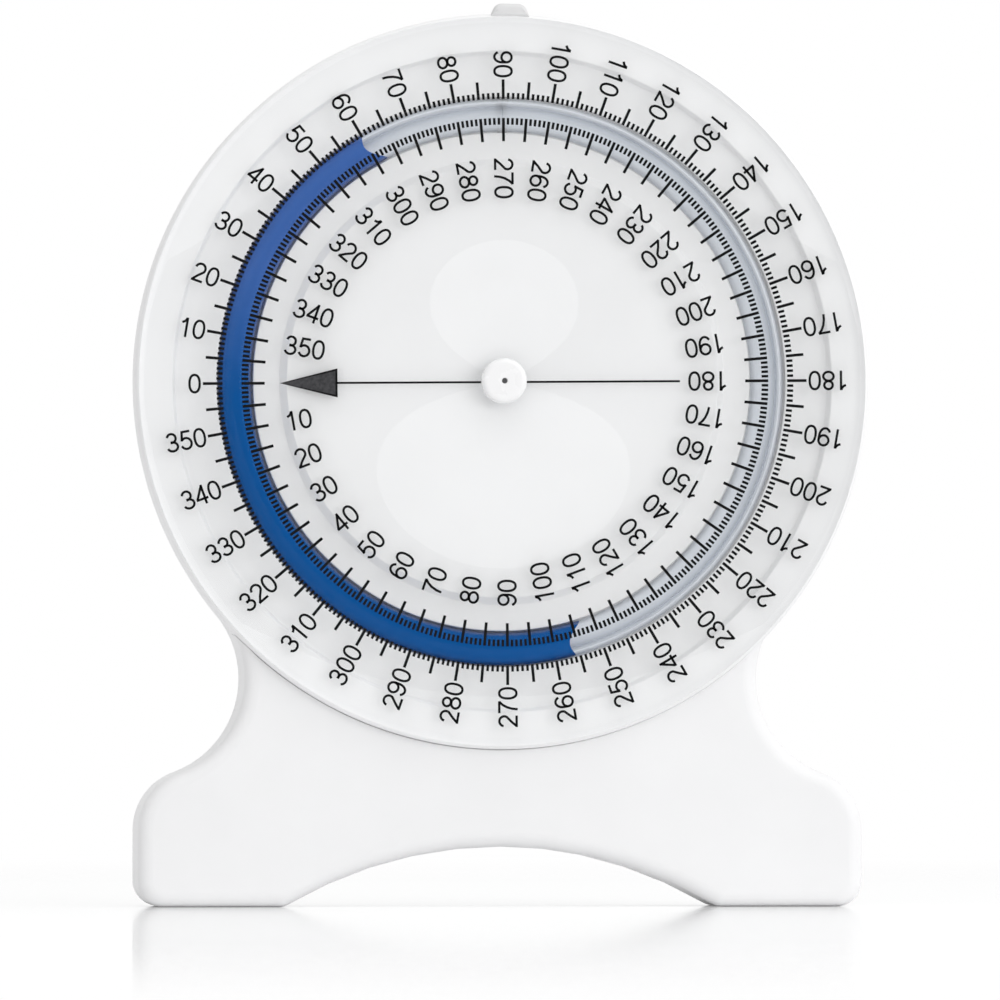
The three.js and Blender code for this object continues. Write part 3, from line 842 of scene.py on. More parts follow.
def stand_shell(context):
    """The front shell: a rounded slab less the dial's recess, the pivot's holes and its hollow."""
    stand = context.scene.stand_sizes
    flats = context.scene.dial_sizes.flats
    steps, edge, overrun = stand.outline_steps, stand.recess_edge, stand.wall
    levels = edge_levels(
        STAND_FRONT, STAND_SEAM, stand.edge_round, 0, stand.round_steps, stand.flat_margin
    )
    shell = stand_slab("stand_shell", stand, levels, steps)
    radius = DIAL_RADIUS + stand.recess_gap
    before = STAND_FRONT - overrun
    floor = RIM_BACK + stand.running_gap
    sunk = floor + stand.washer_sink
    lip = arc((radius + edge, STAND_FRONT + edge), edge, 1.5 * math.pi, math.pi, stand.round_steps)
    recess = [
        (0, before),
        (radius + edge, before),
        *lip,
        (radius, floor),
        (stand.washer_radius, floor),
        (stand.washer_radius, sunk),
        (stand.bush_hole, sunk),
        (stand.bush_hole, STAND_BACK),
        (0, STAND_BACK),
    ]
    levels = [(stand.wall, STAND_SEAM + overrun), (stand.wall, STAND_FRONT + stand.wall)]
    hollow = stand_slab("hollow", stand, levels, steps // 2)
    wall_radius = radius + stand.wall
    wall_back = floor + stand.wall
    boss_back = wall_back + stand.boss_height
    dish = [
        (0, before),
        (wall_radius, before),
        (wall_radius, wall_back),
        (stand.boss_radius, wall_back),
        (stand.boss_radius, boss_back),
        (0, boss_back),
    ]
    carve(hollow, object_of("dish", turned(np.array(dish), flats)))
    shank = context.scene.screw_sizes.shank_radius
    places = screw_places()
    posts = [rod(stand.screw_boss, floor, STAND_BACK, steps, centre) for centre, *_ in places]
    pilots = [rod(shank, tip - edge, STAND_BACK, steps, centre) for centre, _, tip, _ in places]
    carve(hollow, object_of("posts", merged(posts)))
    recess = object_of("recess", turned(np.array(recess), flats))
    return carve(shell, recess, hollow, object_of("pilots", merged(pilots)))


def back_cover(context):
    """The back cover: a plate with a rounded back edge, a lip that fits the shell, and sunk holes.

    Along the back edge's round, the depth nears the back by the square of an even run, and the
    inset is the radius less the root of its square less the square of the depth past the round's
    start.
    """
    stand, screw = context.scene.stand_sizes, context.scene.screw_sizes
    seam = STAND_SEAM + stand.cover_seam
    lip_front = seam - stand.lip_depth
    lip_outer = stand.wall + stand.lip_gap
    lip_inner = lip_outer + stand.lip_thickness
    depths = STAND_BACK - (STAND_BACK - seam) * np.linspace(1, 0, stand.round_steps + 1) ** 2
    past = depths - (STAND_BACK - stand.edge_round)
    insets = stand.edge_round - np.sqrt(np.maximum(stand.edge_round**2 - past**2, 0))
    levels = [
        (lip_inner, seam),
        (lip_inner, lip_front),
        (lip_outer, lip_front),
        (lip_outer, seam),
        *zip(insets, depths),
        (stand.edge_round + stand.flat_margin, STAND_BACK),
    ]
    cover = stand_slab("stand_cover", stand, levels, stand.outline_steps)
    edge = stand.sink_edge
    sinks = []
    for centre, head_radius, _, head_back in screw_places():
        seat = head_back - screw.head_height
        wide = head_radius + stand.sink_gap
        narrow = screw.shank_radius + stand.sink_gap
        sink = [
            (0, lip_front),
            (narrow, lip_front),
            (narrow, seat),
            (wide, seat),
            *arc((wide + edge, STAND_BACK - edge), edge, math.pi, math.pi / 2, stand.round_steps),
            (wide + edge, STAND_BACK + edge),
            (0, STAND_BACK + edge),
        ]
        sinks.append(turned(np.array(sink), screw.flats, centre))
    return carve(cover, object_of("sinks", merged(sinks)))


# How far each cross is turned further than the one before, in radians
CROSS_TURN = 0.4


def cover_screw(context, name, place):
    """A pan-headed screw with a cross in its head."""
    screw = context.scene.screw_sizes
    centre, head_radius, tip, head_back = screw_places()[place]
    seat = head_back - screw.head_height
    crown = (head_radius - screw.head_round, head_back - screw.head_round)
    profile = [
        (0, tip),
        (screw.shank_radius / 2, tip),
        (screw.shank_radius, tip + screw.tip_length),
        (screw.shank_radius, seat),
        (head_radius, seat),
        *arc(crown, screw.head_round, 0, math.pi / 2, screw.round_steps),
        (0, head_back),
    ]
    made = object_of(name, turned(np.array(profile), screw.flats, centre))

    def cross(size):
        """A plus sign's outline: its twelve corners at half an arm's length and half its width."""
        far, near = size * screw.drive_length / 2, size * screw.drive_width / 2
        across = (near, far, far, near, near, -near, -near, -far, -far, -near, -near, near)
        return np.column_stack((across, np.roll(across, -3)))

    depths = [(1.0, head_back + screw.drive_depth), (1.0, head_back)]
    depths.append((screw.drive_floor_share, head_back - screw.drive_depth))
    turn = CROSS_TURN * (place + 1)
    return carve(made, object_of("cross", stacked(cross, depths, centre, turn)))


# Dial


def ring_line(tube):
    """Radius and depth of the middle line of the ring of tube."""
    return DIAL_RADIUS - tube.ring_inset, WINDOW_BACK + tube.window_gap + tube.radius


def rim_curve(dial, start, end):
    """The rim's front round from one radius to another: a quarter circle for window and plate."""
    middle = DIAL_RADIUS - dial.rim_round
    angles = [-math.acos(min((radius - middle) / dial.rim_round, 1)) for radius in (start, end)]
    return arc((middle, RIM_FRONT + dial.rim_round), dial.rim_round, *angles, 2 * dial.corner_steps)


def dial_profile(dial, tube):
    """Radius and depth of the plate: hub, raised middle, trough with a groove, rim and back."""
    seat = RIM_FRONT + dial.seat_depth
    web = seat + dial.plate_wall
    floor = seat + dial.trough_depth
    ring, tube_depth = ring_line(tube)
    groove = tube.radius + tube.seat_gap
    plate_back = tube_depth + groove + dial.plate_wall
    inner = DIAL_RADIUS - dial.inner_step
    outer = DIAL_RADIUS - dial.outer_step
    pocket = DIAL_RADIUS - dial.rim_edge
    rim_inside = DIAL_RADIUS - dial.rim_wall
    fine, step = dial.lip_round, dial.step_round
    corners = [
        ((dial.bore, seat), fine),
        ((inner, seat), step),
        ((inner + dial.inner_run, floor), step),
        ((ring - groove, floor), fine),
        *kept(arc((ring, tube_depth), groove, math.pi, 0, dial.groove_steps)),
        ((ring + groove, floor), fine),
        ((outer - dial.outer_run, floor), step),
        ((outer, seat), step),
        ((pocket, seat), 0),
        *kept(rim_curve(dial, pocket, DIAL_RADIUS)),
        ((DIAL_RADIUS, RIM_BACK), fine),
        ((rim_inside, RIM_BACK), fine),
        ((rim_inside, web), 0),
        ((outer + dial.plate_wall, web), fine),
        ((outer - dial.outer_run + dial.plate_wall, plate_back), step),
        ((inner, plate_back), step),
        ((inner - dial.plate_wall, web), fine),
        ((dial.boss_radius, web), 0),
        ((dial.boss_radius, RIM_BACK), fine),
        ((dial.bore, RIM_BACK), fine),
    ]
    return eased(corners, dial.corner_steps)


def thumb_lug(dial):
    """The lug: a small slab with round corners and edges, its foot sunk in the rim."""
    foot = DIAL_RADIUS - dial.lug_sink
    top = DIAL_RADIUS + dial.lug_height
    half, slope = dial.lug_width / 2, dial.lug_slope

    def outline(inset):
        corner = dial.lug_corner - inset
        corners = [
            ((-half + inset, foot + inset), 0),
            ((half - inset, foot + inset), 0),
            ((half - slope - inset, top - inset), corner),
            ((-half + slope + inset, top - inset), corner),
        ]
        return eased(corners, dial.corner_steps)

    front, edge = RIM_FRONT + dial.lug_front, dial.lug_edge
    back, margin = front + dial.lug_depth, edge / 8
    levels = edge_levels(front, back, edge, edge, dial.corner_steps, margin)
    return stacked(outline, levels, (0, AXIS_HEIGHT), dial.lug_mark - math.radians(TOP_MARK))


def window_disc(dial):
    """The window: a clear disc, flat in front, whose edge carries on the round of the rim."""
    radius = DIAL_RADIUS - dial.rim_edge - dial.window_gap
    corners = [
        ((dial.bore, WINDOW_FRONT), dial.window_edge),
        *kept(rim_curve(dial, DIAL_RADIUS - dial.rim_round, radius)),
        ((radius, WINDOW_BACK), dial.window_edge),
        ((dial.bore, WINDOW_BACK), dial.window_edge),
    ]
    return turned(eased(corners, dial.corner_steps), dial.flats)


# Tube and liquid


def round_tube(tube):
    """Even angles round the tube."""
    return np.linspace(0, 2 * math.pi, tube.around, endpoint=False)[None, :]


def tube_surface(tube, radius, mark, wrap_rows):
    """A pipe's skin, with a radius and a mark for each ring of points round it.

    The ring's radius grows by the tube's radius times the cosine of the angle around it, the depth
    shrinks by the radius times its sine, and the sum is carried round the dial's axis by the mark.
    """
    ring, depth = ring_line(tube)
    around = round_tube(tube)
    across, up = around_dial(ring + radius * np.cos(around), mark)
    along = np.broadcast_to(depth - radius * np.sin(around), across.shape)
    points = np.stack((across, along, up), axis=-1).reshape(-1, 3)
    return points, quads(len(radius), tube.around, wrap_rows, True).tolist()


def pipe(tube, outer, inner, start, end):
    """A bent pipe: out along its outer wall, back along its bore, closed by a ring at each end."""
    steps = max(2, round(tube.along * (end - start) / (2 * math.pi)))
    marks = np.linspace(start, end, steps + 1)
    mark = np.concatenate((marks, marks[::-1]))[:, None]
    return tube_surface(tube, np.repeat((outer, inner), steps + 1)[:, None], mark, True)


def in_bore(mesh, tube):
    """Which faces of the ring of tube lie in its bore.

    Their middles are nearer to the ring's middle line than the middle of the tube's wall is: the
    distance is worked from the radius about the dial's axis and the depth.
    """
    middles = np.empty(len(mesh.polygons) * 3)
    mesh.polygons.foreach_get("center", middles)
    across, depth, up = middles.reshape(-1, 3).T
    ring, ring_depth = ring_line(tube)
    aside = np.hypot(across, up - AXIS_HEIGHT) - ring
    return np.hypot(aside, depth - ring_depth) < tube.radius - tube.wall / 2


def liquid_column(tube):
    """The liquid: a bent rod that ends in a hollow curve where the air bubble's nose lies.

    Each end runs past the nose by the reach times the square of the distance across the bore from
    the nose's tip, so that it is lowest there and longest on the side towards the hub.
    """
    low, high, rings = tube.liquid_bottom, tube.liquid_top, tube.end_rings
    cap = np.linspace(0, 1, rings)
    steps = round(tube.along * (high - low) / (2 * math.pi))
    middle = np.linspace(low, high, steps + 1)[1:-1]
    size = np.concatenate((cap, np.ones(len(middle)), cap[::-1]))[:, None]
    side = np.concatenate((-np.ones(rings), np.zeros(len(middle)), np.ones(rings)))[:, None]
    mark = np.concatenate((np.full(rings, low), middle, np.full(rings, high)))[:, None]
    across = size * np.cos(round_tube(tube)) - tube.nose_middle_share
    run = side * tube.nose_reach * across**2 / ring_line(tube)[0]
    bore = tube.radius - tube.wall + tube.liquid_wet
    return tube_surface(tube, bore * size, mark + run, False)


# Print


# The middle of a round digit, in shares of its height, and the step in degrees along its curves
DIGIT_MIDDLE_SHARE = 0.31
BOW_STEP = 14

# Degrees between the longer marks, and between the numbers
LONG_STEP, NUMBER_STEP = 5, 10


def bow(across, up, wide, high, start, end, squareness=1.0):
    """A curve of a digit: an ellipse whose cosine and sine are raised to a power, to square it."""
    steps = max(3, round(abs(end - start) / BOW_STEP))
    angle = np.radians(np.linspace(start, end, steps + 1))
    turn = np.column_stack((np.cos(angle), np.sin(angle)))
    return (across, up) + (wide, high) * np.sign(turn) * np.abs(turn) ** squareness


def line(*points):
    """A straight stretch, or several, of a digit."""
    return np.array(points, float)


def digit_strokes():
    """The middle lines of the strokes of each digit, in shares of its height."""
    low, high, middle = 0.058, 0.942, DIGIT_MIDDLE_SHARE
    six = [
        bow(middle, 0.315, 0.24, 0.257, 0, 360),
        np.vstack(((0.07, 0.3), bow(0.335, 0.55, 0.265, 0.392, 180, 32))),
    ]
    return {
        "0": [bow(middle, 0.5, 0.245, high - 0.5, 0, 360, 0.88)],
        "1": [
            line((0.37, 0), (0.37, 1)),
            line((0.13, 0.735), (0.235, 0.785), (0.31, 0.86), (0.355, 0.975)),
        ],
        "2": [
            np.vstack(
                (bow(0.305, 0.69, 0.235, high - 0.69, 172, -32), (0.27, 0.315), (0.09, 0.085))
            ),
            line((0.02, low), (0.575, low)),
        ],
        "3": [
            np.vstack((bow(0.29, 0.717, 0.21, high - 0.717, 165, -90), (0.22, 0.492))),
            np.vstack(((0.22, 0.512), bow(0.295, 0.285, 0.25, 0.227, 90, -165))),
        ],
        "4": [
            line((0.44, 0), (0.44, 1)),
            line((0.01, 0.285), (0.605, 0.285)),
            line((0.46, 0.965), (0.055, 0.3)),
        ],
        "5": [
            line((0.545, high), (0.165, high), (0.1, 0.475)),
            np.vstack(((0.105, 0.49), bow(0.3, 0.335, 0.25, 0.277, 138, -160))),
        ],
        "6": six,
        "7": [line((0.025, high), (0.595, high)), bow(0.93, 0, 0.72, 1.085, 180, 119)],
        "8": [
            bow(middle, 0.737, 0.205, high - 0.737, 0, 360),
            bow(middle, 0.287, 0.25, 0.287 - low, 0, 360),
        ],
        "9": [(2 * middle, 1) - stroke for stroke in six],
    }


# How near the ends of a closed stroke lie, and the least cosine that a mitre is worked with
SAME_PLACE = 1e-6
LEAST_MITRE = 0.5


def ribbon(path, width):
    """A stroke seen flat: its middle line moved to both sides by half its width, mitred at turns.

    At each point the side step runs along the mean of the normals before and after it, over the
    cosine of half the turn. Gives the left and right edges, and whether the stroke closes on
    itself.
    """
    closed = np.linalg.norm(path[0] - path[-1]) < SAME_PLACE
    if closed:
        path = path[:-1]
    step = np.roll(path, -1, axis=0) - path
    if not closed:
        step[-1] = step[-2]
    normal = unit(np.column_stack((-step[:, 1], step[:, 0])))
    earlier = np.roll(normal, 1, axis=0)
    if not closed:
        earlier[0] = normal[0]
    mean = normal + earlier
    mean /= np.maximum((mean * normal).sum(1, keepdims=True), LEAST_MITRE)
    return path + mean * width / 2, path - mean * width / 2, closed


def inked(left, right, closed, front, back):
    """A strip of ink from its two edges: a box section carried along, closed at its ends."""
    sides = ((left, front), (right, front), (right, back), (left, back))
    section = np.stack([np.insert(edge, 1, depth, axis=1) for edge, depth in sides], axis=1)
    faces = quads(len(left), 4, closed, True).tolist()
    if not closed:
        last = 4 * (len(left) - 1)
        faces += [[0, 1, 2, 3], [last + 3, last + 2, last + 1, last]]
    return section.reshape(-1, 3), faces


def ink_depths(sizes):
    """The front and back of the print."""
    return WINDOW_FRONT - sizes.thickness, WINDOW_FRONT + sizes.sink


def number(sizes, text, mark, start):
    """A number printed from a radius inwards, its digits' feet towards the lower marks' side.

    A point of a digit lies at the start radius less its place along the line, and its height less a
    half is carried along the dial's tangent.
    """
    outward = np.array((-math.cos(mark), math.sin(mark)))
    upward = np.array((math.sin(mark), math.cos(mark)))
    strokes = digit_strokes()
    front, back = ink_depths(sizes)
    parts = []
    for place, digit in enumerate(text):
        for stroke in strokes[digit]:
            left, right, closed = ribbon(stroke * (sizes.widening, 1), sizes.stroke_share)
            edges = []
            for edge in (left, right):
                along = start - sizes.text_height * (edge[:, :1] + place * sizes.advance_share)
                rise = sizes.text_height * (edge[:, 1:] - 1 / 2)
                edges.append(along * outward + rise * upward + (0, AXIS_HEIGHT))
            parts.append(inked(*edges, closed, front, back))
    return merged(parts)


def scale_numbers(sizes, clockwise):
    """Every tenth degree's number, counted with the marks from 0, or against them from 10."""
    parts = []
    for value in range(0 if clockwise else NUMBER_STEP, FULL_TURN, NUMBER_STEP):
        text = str(value)
        mark = math.radians(value if clockwise else -value)
        width = (len(text) - 1) * sizes.advance_share + 2 * DIGIT_MIDDLE_SHARE * sizes.widening
        start = sizes.outer_text + sizes.text_height * width if clockwise else sizes.inner_text
        parts.append(number(sizes, text, mark, start))
    return merged(parts)


def scale_marks(sizes, starts, ends, widths):
    """One bar for each degree, from its start radius to its end radius, all worked as one array."""
    mark = np.radians(np.arange(FULL_TURN))
    outward = np.stack((-np.cos(mark), np.sin(mark)), axis=-1)
    aside = np.stack((np.sin(mark), np.cos(mark)), axis=-1) * widths[:, None] / 2
    start, end = outward * starts[:, None], outward * ends[:, None]
    corners = np.stack((start + aside, end + aside, end - aside, start - aside), axis=1)
    points = np.empty((FULL_TURN, 8, 3))
    points[:, :4, 1], points[:, 4:, 1] = ink_depths(sizes)
    points[:, :4, ::2] = points[:, 4:, ::2] = corners + (0, AXIS_HEIGHT)
    sides = [[0, 1, 2, 3], [7, 6, 5, 4], [0, 4, 5, 1], [1, 5, 6, 2], [2, 6, 7, 3], [3, 7, 4, 0]]
    faces = (np.arange(FULL_TURN)[:, None, None] * 8 + np.array(sides)).reshape(-1, 4)
    return points.reshape(-1, 3), faces.tolist()


def by_step(ones, fives, tens):
    """A value for each degree: one for every degree, one for the fives and one for the tens."""
    degree = np.arange(FULL_TURN)
    return np.where(degree % NUMBER_STEP == 0, tens, np.where(degree % LONG_STEP == 0, fives, ones))


def flat_strip(sizes, path, width):
    """A printed line along a path given across and up from the dial's axis."""
    left, right, closed = ribbon(path, width)
    return inked(left + (0, AXIS_HEIGHT), right + (0, AXIS_HEIGHT), closed, *ink_depths(sizes))


def printed_on(sizes, surface):
    """The print as it lies on the window: turned a little about the dial's axis, and off it.

    A point's place across and up from the axis is turned by the usual sums of cosine and sine, then
    moved.
    """
    points, faces = surface
    cosine, sine = math.cos(sizes.off_turn), math.sin(sizes.off_turn)
    across, up = points[:, 0], points[:, 2] - AXIS_HEIGHT
    right = across * cosine - up * sine + sizes.off_right
    above = across * sine + up * cosine + AXIS_HEIGHT - sizes.off_down
    return np.column_stack((right, points[:, 1], above)), faces


# Operators


class MakeStand(Operator):
    """Makes the stand's front shell and back cover"""

    bl_idname = "scoliometer.stand"
    bl_label = "Stand"

    def execute(self, context):
        look = context.scene.finish_colours
        white = moulded("stand_white", look.stand_white, rough=0.34)
        shell, cover = stand_shell(context), back_cover(context)
        finish_piece(shell, white, "stand", ["stand_front_shell"], weighted=True)
        finish_piece(cover, white, "stand", ["stand_back_cover"], weighted=True)
        return {"FINISHED"}


class MakeCoverScrews(Operator):
    """Makes the screws that hold the back cover"""

    bl_idname = "scoliometer.cover_screws"
    bl_label = "Cover screws"

    def execute(self, context):
        steel = plated("plated_screw", context.scene.finish_colours.steel)
        for place, name in enumerate(SCREW_NODES):
            made = cover_screw(context, f"pan_screw_{place + 1}", place)
            finish_piece(made, steel, "stand", [name])
        return {"FINISHED"}


class MakeDialPlate(Operator):
    """Makes the dial's white plate and its thumb lug"""

    bl_idname = "scoliometer.dial_plate"
    bl_label = "Dial plate"

    def execute(self, context):
        dial, tube = context.scene.dial_sizes, context.scene.tube_sizes
        base = context.scene.finish_colours.dial_white
        white = moulded("dial_white", base, rough=0.4)
        plate = object_of("white_dial_plate", turned(dial_profile(dial, tube), dial.flats))
        finish_piece(plate, white, "dial", ["dial_plate"])
        lug = object_of("thumb_lug", thumb_lug(dial))
        # Painted shade: the lug's white is made darker than the rest of the dial's white.
        lug_painted_shade = 0.82
        shaded_lug_white = moulded("lug_white", times(base, lug_painted_shade), rough=0.4, shade=0.9)
        finish_piece(lug, shaded_lug_white, "dial", ["dial_plate"])
        return {"FINISHED"}


class MakeWindow(Operator):
    """Makes the clear window over the dial"""

    bl_idname = "scoliometer.window"
    bl_label = "Window"

    def execute(self, context):
        tint = context.scene.finish_colours.window_tint
        acrylic = clear("clear_acrylic", tint, index=1.49, rough=0.0, gloss=0.1)
        window = object_of("clear_window", window_disc(context.scene.dial_sizes))
        finish_piece(window, acrylic, "dial", ["dial_window"])
        return {"FINISHED"}


class MakeRingTube(Operator):
    """Makes the ring of clear tube and the sleeve over its joint"""

    bl_idname = "scoliometer.ring_tube"
    bl_label = "Ring tube"

    def execute(self, context):
        tube, look = context.scene.tube_sizes, context.scene.finish_colours
        ring = ring_line(tube)[0]
        across = (ring, tube.radius)
        # The tube's tint and haze, by the place across it, paint shade and a highlight along it.
        glass = clear(
            "clear_tube",
            look.tube_clear,
            index=1.2,
            rough=0.04,
            gloss=0.3,
            across=across,
            haze=look.tube_haze,
        )
        gap = tube.joint_gap / 2 / ring
        start, end = tube.joint_mark + gap, tube.joint_mark + 2 * math.pi - gap
        wall = pipe(tube, tube.radius, tube.radius - tube.wall, start, end)
        made = object_of("clear_ring_tube", wall)
        finish_piece(made, glass, "dial", ["ring_tube"])
        made.data.materials.append(hazed_bore("hazed_bore", look.bore_haze, *across))
        made.data.polygons.foreach_set("material_index", in_bore(made.data, tube).astype(np.int32))
        half = tube.sleeve_length / 2 / ring
        start, end = tube.joint_mark - half, tube.joint_mark + half
        inner = tube.radius + tube.sleeve_gap
        wall = pipe(tube, inner + tube.sleeve_wall, inner, start, end)
        sleeve = object_of("clear_joint_sleeve", wall)
        finish_piece(sleeve, glass, "dial", ["tube_joint_sleeve"])
        return {"FINISHED"}


class MakeLiquid(Operator):
    """Makes the blue liquid in the tube"""

    bl_idname = "scoliometer.liquid"
    bl_label = "Liquid"

    def execute(self, context):
        look = context.scene.finish_colours
        dyed = dyed_liquid("dyed_blue", look.liquid_deep, look.liquid_blue)
        made = object_of("blue_liquid", liquid_column(context.scene.tube_sizes))
        finish_piece(made, dyed, "liquid", ["liquid_column"])
        return {"FINISHED"}


class MakeHubCap(Operator):
    """Makes the cap over the pivot"""

    bl_idname = "scoliometer.hub_cap"
    bl_label = "Hub cap"

    def execute(self, context):
        cap = context.scene.cap_sizes
        dimple_floor = CAP_FRONT + cap.dimple_depth
        socket = CAP_BACK - cap.socket_depth
        corners = [
            ((0, dimple_floor), 0),
            ((cap.dimple_radius, dimple_floor), 0),
            ((cap.dimple_radius, CAP_FRONT), cap.dimple_edge),
            ((cap.radius, CAP_FRONT), cap.edge_round),
            ((cap.radius, CAP_BACK), cap.dimple_edge),
            ((cap.socket_radius, CAP_BACK), cap.dimple_edge),
            ((cap.socket_radius, socket), 0),
            ((0, socket), 0),
        ]
        made = object_of("white_hub_cap", turned(eased(corners, cap.round_steps), cap.flats))
        base = context.scene.finish_colours.cap_white
        # The cap's pin hole gets painted shade.
        white = moulded("cap_white", base, rough=0.26, gloss=0.55, hole=cap.dimple_radius)
        finish_piece(made, white, "dial", ["hub_cap"])
        return {"FINISHED"}


class PrintScales(Operator):
    """Prints the marks and numbers of both scales on the window"""

    bl_idname = "scoliometer.scales"
    bl_label = "Scales"

    def execute(self, context):
        sizes = context.scene.print_sizes
        ink = printed("black_print", context.scene.finish_colours.ink, rough=0.5)
        widths = by_step(sizes.mark_width, sizes.long_mark_width, sizes.long_mark_width)
        outer_ends = by_step(sizes.outer_end, sizes.outer_five_end, sizes.outer_ten_end)
        inner_starts = by_step(sizes.inner_start, sizes.inner_long_start, sizes.inner_long_start)
        every = np.ones(FULL_TURN)
        surfaces = {
            "outer_scale_marks": scale_marks(sizes, every * sizes.outer_start, outer_ends, widths),
            "inner_scale_marks": scale_marks(sizes, inner_starts, every * sizes.inner_end, widths),
            "outer_scale_numbers": scale_numbers(sizes, clockwise=True),
            "inner_scale_numbers": scale_numbers(sizes, clockwise=False),
        }
        for name, surface in surfaces.items():
            finish_piece(object_of(name, printed_on(sizes, surface)), ink, "dial", [])
        return {"FINISHED"}


class PrintPointer(Operator):
    """Prints the pointer and the line through the hub"""

    bl_idname = "scoliometer.pointer"
    bl_label = "Pointer"

    def execute(self, context):
        sizes = context.scene.print_sizes
        look = context.scene.finish_colours
        tip, base, half = -sizes.pointer_tip, -sizes.pointer_base, sizes.pointer_half
        triangle = np.array(((tip, 0), (base, -half), (base, half), (tip, 0)), float)
        rule = flat_strip(sizes, np.array(((base, 0), (sizes.line_end, 0))), sizes.line_width)
        edge = flat_strip(sizes, triangle, sizes.line_width)
        ink = printed("pointer_print", look.ink, rough=0.5)
        lines = printed_on(sizes, merged([rule, edge]))
        finish_piece(object_of("pointer_line", lines), ink, "dial", [])
        front, back = ink_depths(sizes)
        lift = sizes.thickness / 2
        corners = triangle[:3] + (0, AXIS_HEIGHT)
        fill = stacked(lambda _: corners, [(0, back), (0, front + lift)])
        charcoal = printed("charcoal_print", look.charcoal, rough=0.55)
        finish_piece(object_of("pointer_head", printed_on(sizes, fill)), charcoal, "dial", [])
        return {"FINISHED"}


class FinishPivotParts(Operator):
    """Gives the pivot's washers, bush, pin and screw their finishes"""

    bl_idname = "scoliometer.pivot_parts"
    bl_label = "Pivot parts"

    def execute(self, context):
        look = context.scene.finish_colours
        nylon = moulded("natural_nylon", look.nylon, rough=0.42)
        steel = plated("plated_pivot", look.steel)
        finishes = {
            "friction_washer": nylon,
            "pivot_bush": nylon,
            "spring_washer": steel,
            "pivot_pin": steel,
            "retaining_washer": steel,
            "retaining_screw": steel,
        }
        for name, material in finishes.items():
            materials = frame["nodes"][name].data.materials
            materials.clear()
            materials.append(material)
        return {"FINISHED"}


class SetStage(Operator):
    """Sets the floor, the light and the camera"""

    bl_idname = "scoliometer.stage"
    bl_label = "Stage"

    def execute(self, context):
        scene = context.scene
        stage = scene.stage_sizes
        set_camera(scene, stage)
        set_floor(stage)
        set_light(scene, stage)
        return {"FINISHED"}


def set_camera(scene, stage):
    """Places the camera so that the print's centre falls on its pixel, at the pixel size given."""
    turn, tilt = stage.azimuth, stage.elevation
    level = math.cos(tilt)
    back = Vector((math.sin(turn) * level, -math.cos(turn) * level, math.sin(tilt)))
    right = Vector((math.cos(turn), math.sin(turn), 0))
    up = back.cross(right)
    middle = stage.photo_width / 2
    centre = Vector((0, WINDOW_FRONT, AXIS_HEIGHT))
    shift = right * (middle - stage.dial_right) + up * (stage.dial_down - middle)
    target = centre + shift * stage.pixel_size
    camera = bpy.data.objects.new("camera", bpy.data.cameras.new("camera"))
    scene.collection.objects.link(camera)
    camera.location = target + back * stage.distance
    camera.rotation_mode = "QUATERNION"
    camera.rotation_quaternion = (-back).to_track_quat("-Z", "Y")
    width = stage.photo_width * stage.pixel_size
    camera.data.lens = camera.data.sensor_width * stage.distance / width
    camera.data.clip_start = stage.near_clip
    camera.data.clip_end = stage.far_clip
    scene.camera = camera


def set_floor(stage):
    """A white floor: lit and a little glossy near the object, and plain white further off."""
    half = stage.floor_half
    points = np.array(((-half, -half, 0), (half, -half, 0), (half, half, 0), (-half, half, 0)))
    floor = object_of("floor", (points, [[0, 1, 2, 3]]))
    material, tree = blank("floor_white")
    across, along, _ = node(tree, "SeparateXYZ", {0: spot(tree)}).outputs
    aside = maths(tree, "SUBTRACT", maths(tree, "ABSOLUTE", across), stage.floor_core)
    reach = distance(tree, maths(tree, "MAXIMUM", aside), along)
    away = ranged(tree, reach, stage.floor_near, stage.floor_far, way="SMOOTHSTEP")
    seen = looked_at(tree)
    lit = signal(tree, "BsdfDiffuse", {"Color": (*stage.floor_white, 1)})
    mirror = {"Color": (*stage.floor_gloss, 1), "Roughness": stage.floor_rough}
    gloss = signal(tree, "BsdfGlossy", mirror)
    shine = signal(tree, "Fresnel", {"IOR": stage.floor_index})
    shine = maths(tree, "MULTIPLY", shine, stage.floor_shine)
    glow = signal(tree, "Emission", {"Strength": maths(tree, "MULTIPLY", seen, stage.floor_lift)})
    near = signal(tree, "AddShader", {0: mixed(tree, shine, lit, gloss), 1: glow})
    white = signal(tree, "Emission", {"Strength": 1.0})
    far = maths(tree, "MULTIPLY", away, seen)
    floor.data.materials.append(shown(material, mixed(tree, far, near, white)))


# Each lamp: place across, along and up from the dial's axis, width and height, and power in watts
LAMPS = {
    "key_lamp": ((0.6, -0.95, -0.05), (0.7, 0.7), 3.0),
    "top_lamp": ((0.1, -0.05, 0.85), (0.9, 0.9), 1.2),
}

# How squarely a ray goes to the front, from -1 up, where the dark there is full and where it ends
DARK_FULL, DARK_END = -0.97, -0.8


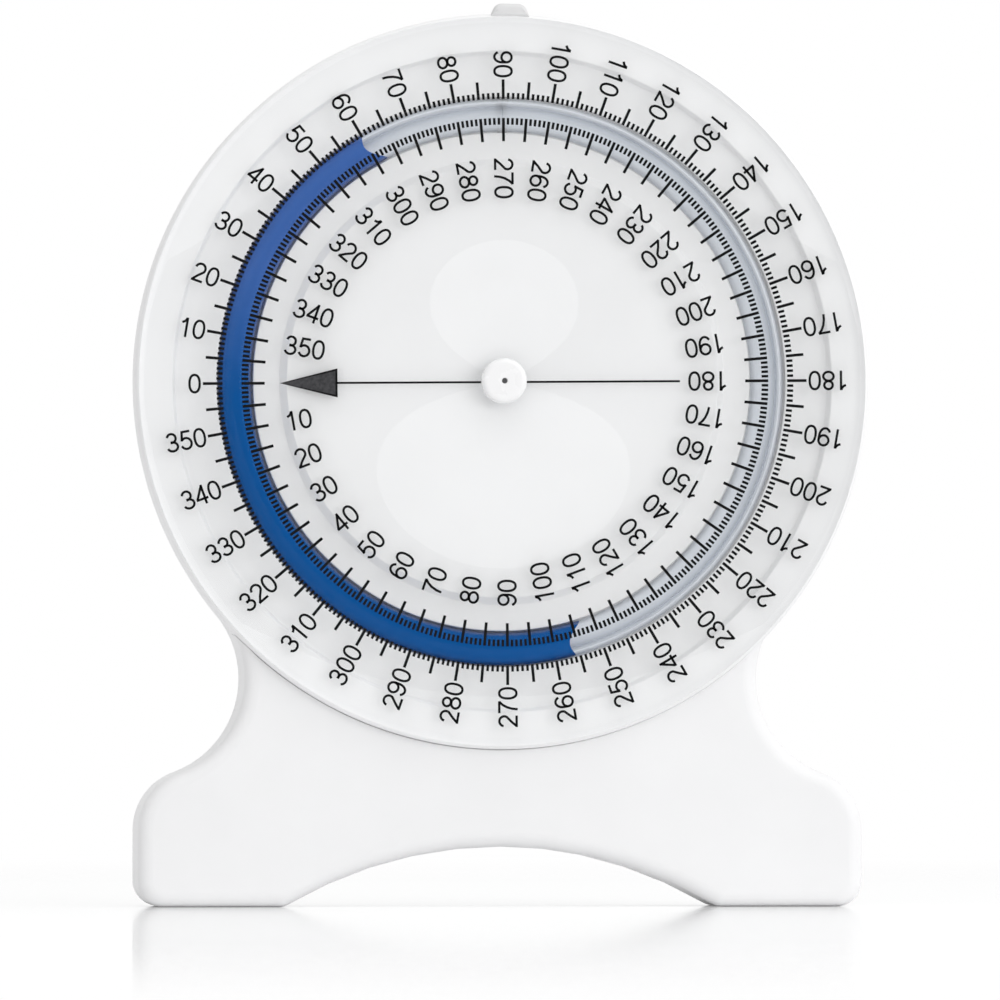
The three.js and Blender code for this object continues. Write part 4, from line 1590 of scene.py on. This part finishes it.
def set_light(scene, stage):
    """Light from all round, strongest from the front and right, and lamps at the right and top."""
    world = bpy.data.worlds.new("studio")
    world.use_nodes = True
    tree = world.node_tree
    tree.nodes.clear()
    towards = node(tree, "TexCoord").outputs["Generated"]
    ahead = node(tree, "SeparateXYZ", {0: towards}).outputs[1]
    leaning = (stage.lean_right, -stage.lean_front, stage.lean_up)
    lean = node(tree, "VectorMath", {0: towards, 1: leaning}, operation="DOT_PRODUCT")
    soft = maths(tree, "ADD", lean.outputs["Value"], 1.0)
    soft = maths(tree, "MULTIPLY", soft, stage.sky)
    dark = ranged(tree, ahead, DARK_FULL, DARK_END, stage.dark_front, way="SMOOTHSTEP")
    dark = maths(tree, "MAXIMUM", dark, node(tree, "LightPath").outputs["Is Camera Ray"])
    strength = signal(tree, "Mix", {"Factor": looked_at(tree), "A": soft, "B": dark})
    sky = signal(tree, "Background", {"Color": (1, 1, 1, 1), "Strength": strength})
    node(tree, "OutputWorld", {"Surface": sky})
    scene.world = world
    axis = Vector((0, 0, AXIS_HEIGHT))
    for name, (place, size, power) in LAMPS.items():
        data = bpy.data.lights.new(name, "AREA")
        data.shape = "RECTANGLE"
        data.size, data.size_y = size
        data.energy = power
        lamp = bpy.data.objects.new(name, data)
        scene.collection.objects.link(lamp)
        lamp.location = axis + Vector(place)
        lamp.rotation_mode = "QUATERNION"
        lamp.rotation_quaternion = Vector(place).to_track_quat("Z", "Y")
        lamp.visible_glossy = False
        lamp.visible_transmission = False
    scene.view_settings.view_transform = "Standard"


STEPS = (
    SetStage,
    MakeStand,
    MakeCoverScrews,
    MakeDialPlate,
    MakeWindow,
    MakeRingTube,
    MakeLiquid,
    MakeHubCap,
    PrintScales,
    PrintPointer,
    FinishPivotParts,
)


class ScoliometerPanel(Panel):
    """Lists the steps that dress the scoliometer"""

    bl_idname = "VIEW3D_PT_scoliometer"
    bl_label = "Scoliometer"
    bl_space_type = "VIEW_3D"
    bl_region_type = "UI"
    bl_category = "Scoliometer"

    def draw(self, context):
        for step in STEPS:
            self.layout.operator(step.bl_idname)
        for group in PROPERTY_GROUPS:
            sizes = getattr(context.scene, group)
            column = self.layout.column(heading=group.replace("_", " ").capitalize())
            for name in sizes.__annotations__:
                column.prop(sizes, name)


def register():
    for name, group in PROPERTY_GROUPS.items():
        bpy.utils.register_class(group)
        setattr(bpy.types.Scene, name, PointerProperty(type=group))
    for step in STEPS:
        bpy.utils.register_class(step)
    bpy.utils.register_class(ScoliometerPanel)


def unregister():
    bpy.utils.unregister_class(ScoliometerPanel)
    for step in reversed(STEPS):
        bpy.utils.unregister_class(step)
    for name, group in reversed(PROPERTY_GROUPS.items()):
        delattr(bpy.types.Scene, name)
        bpy.utils.unregister_class(group)


def main():
    register()
    for step in STEPS:
        group, name = step.bl_idname.split(".")
        getattr(getattr(bpy.ops, group), name)()
    bpy.context.view_layer.update()


if __name__ == "__main__":
    main()
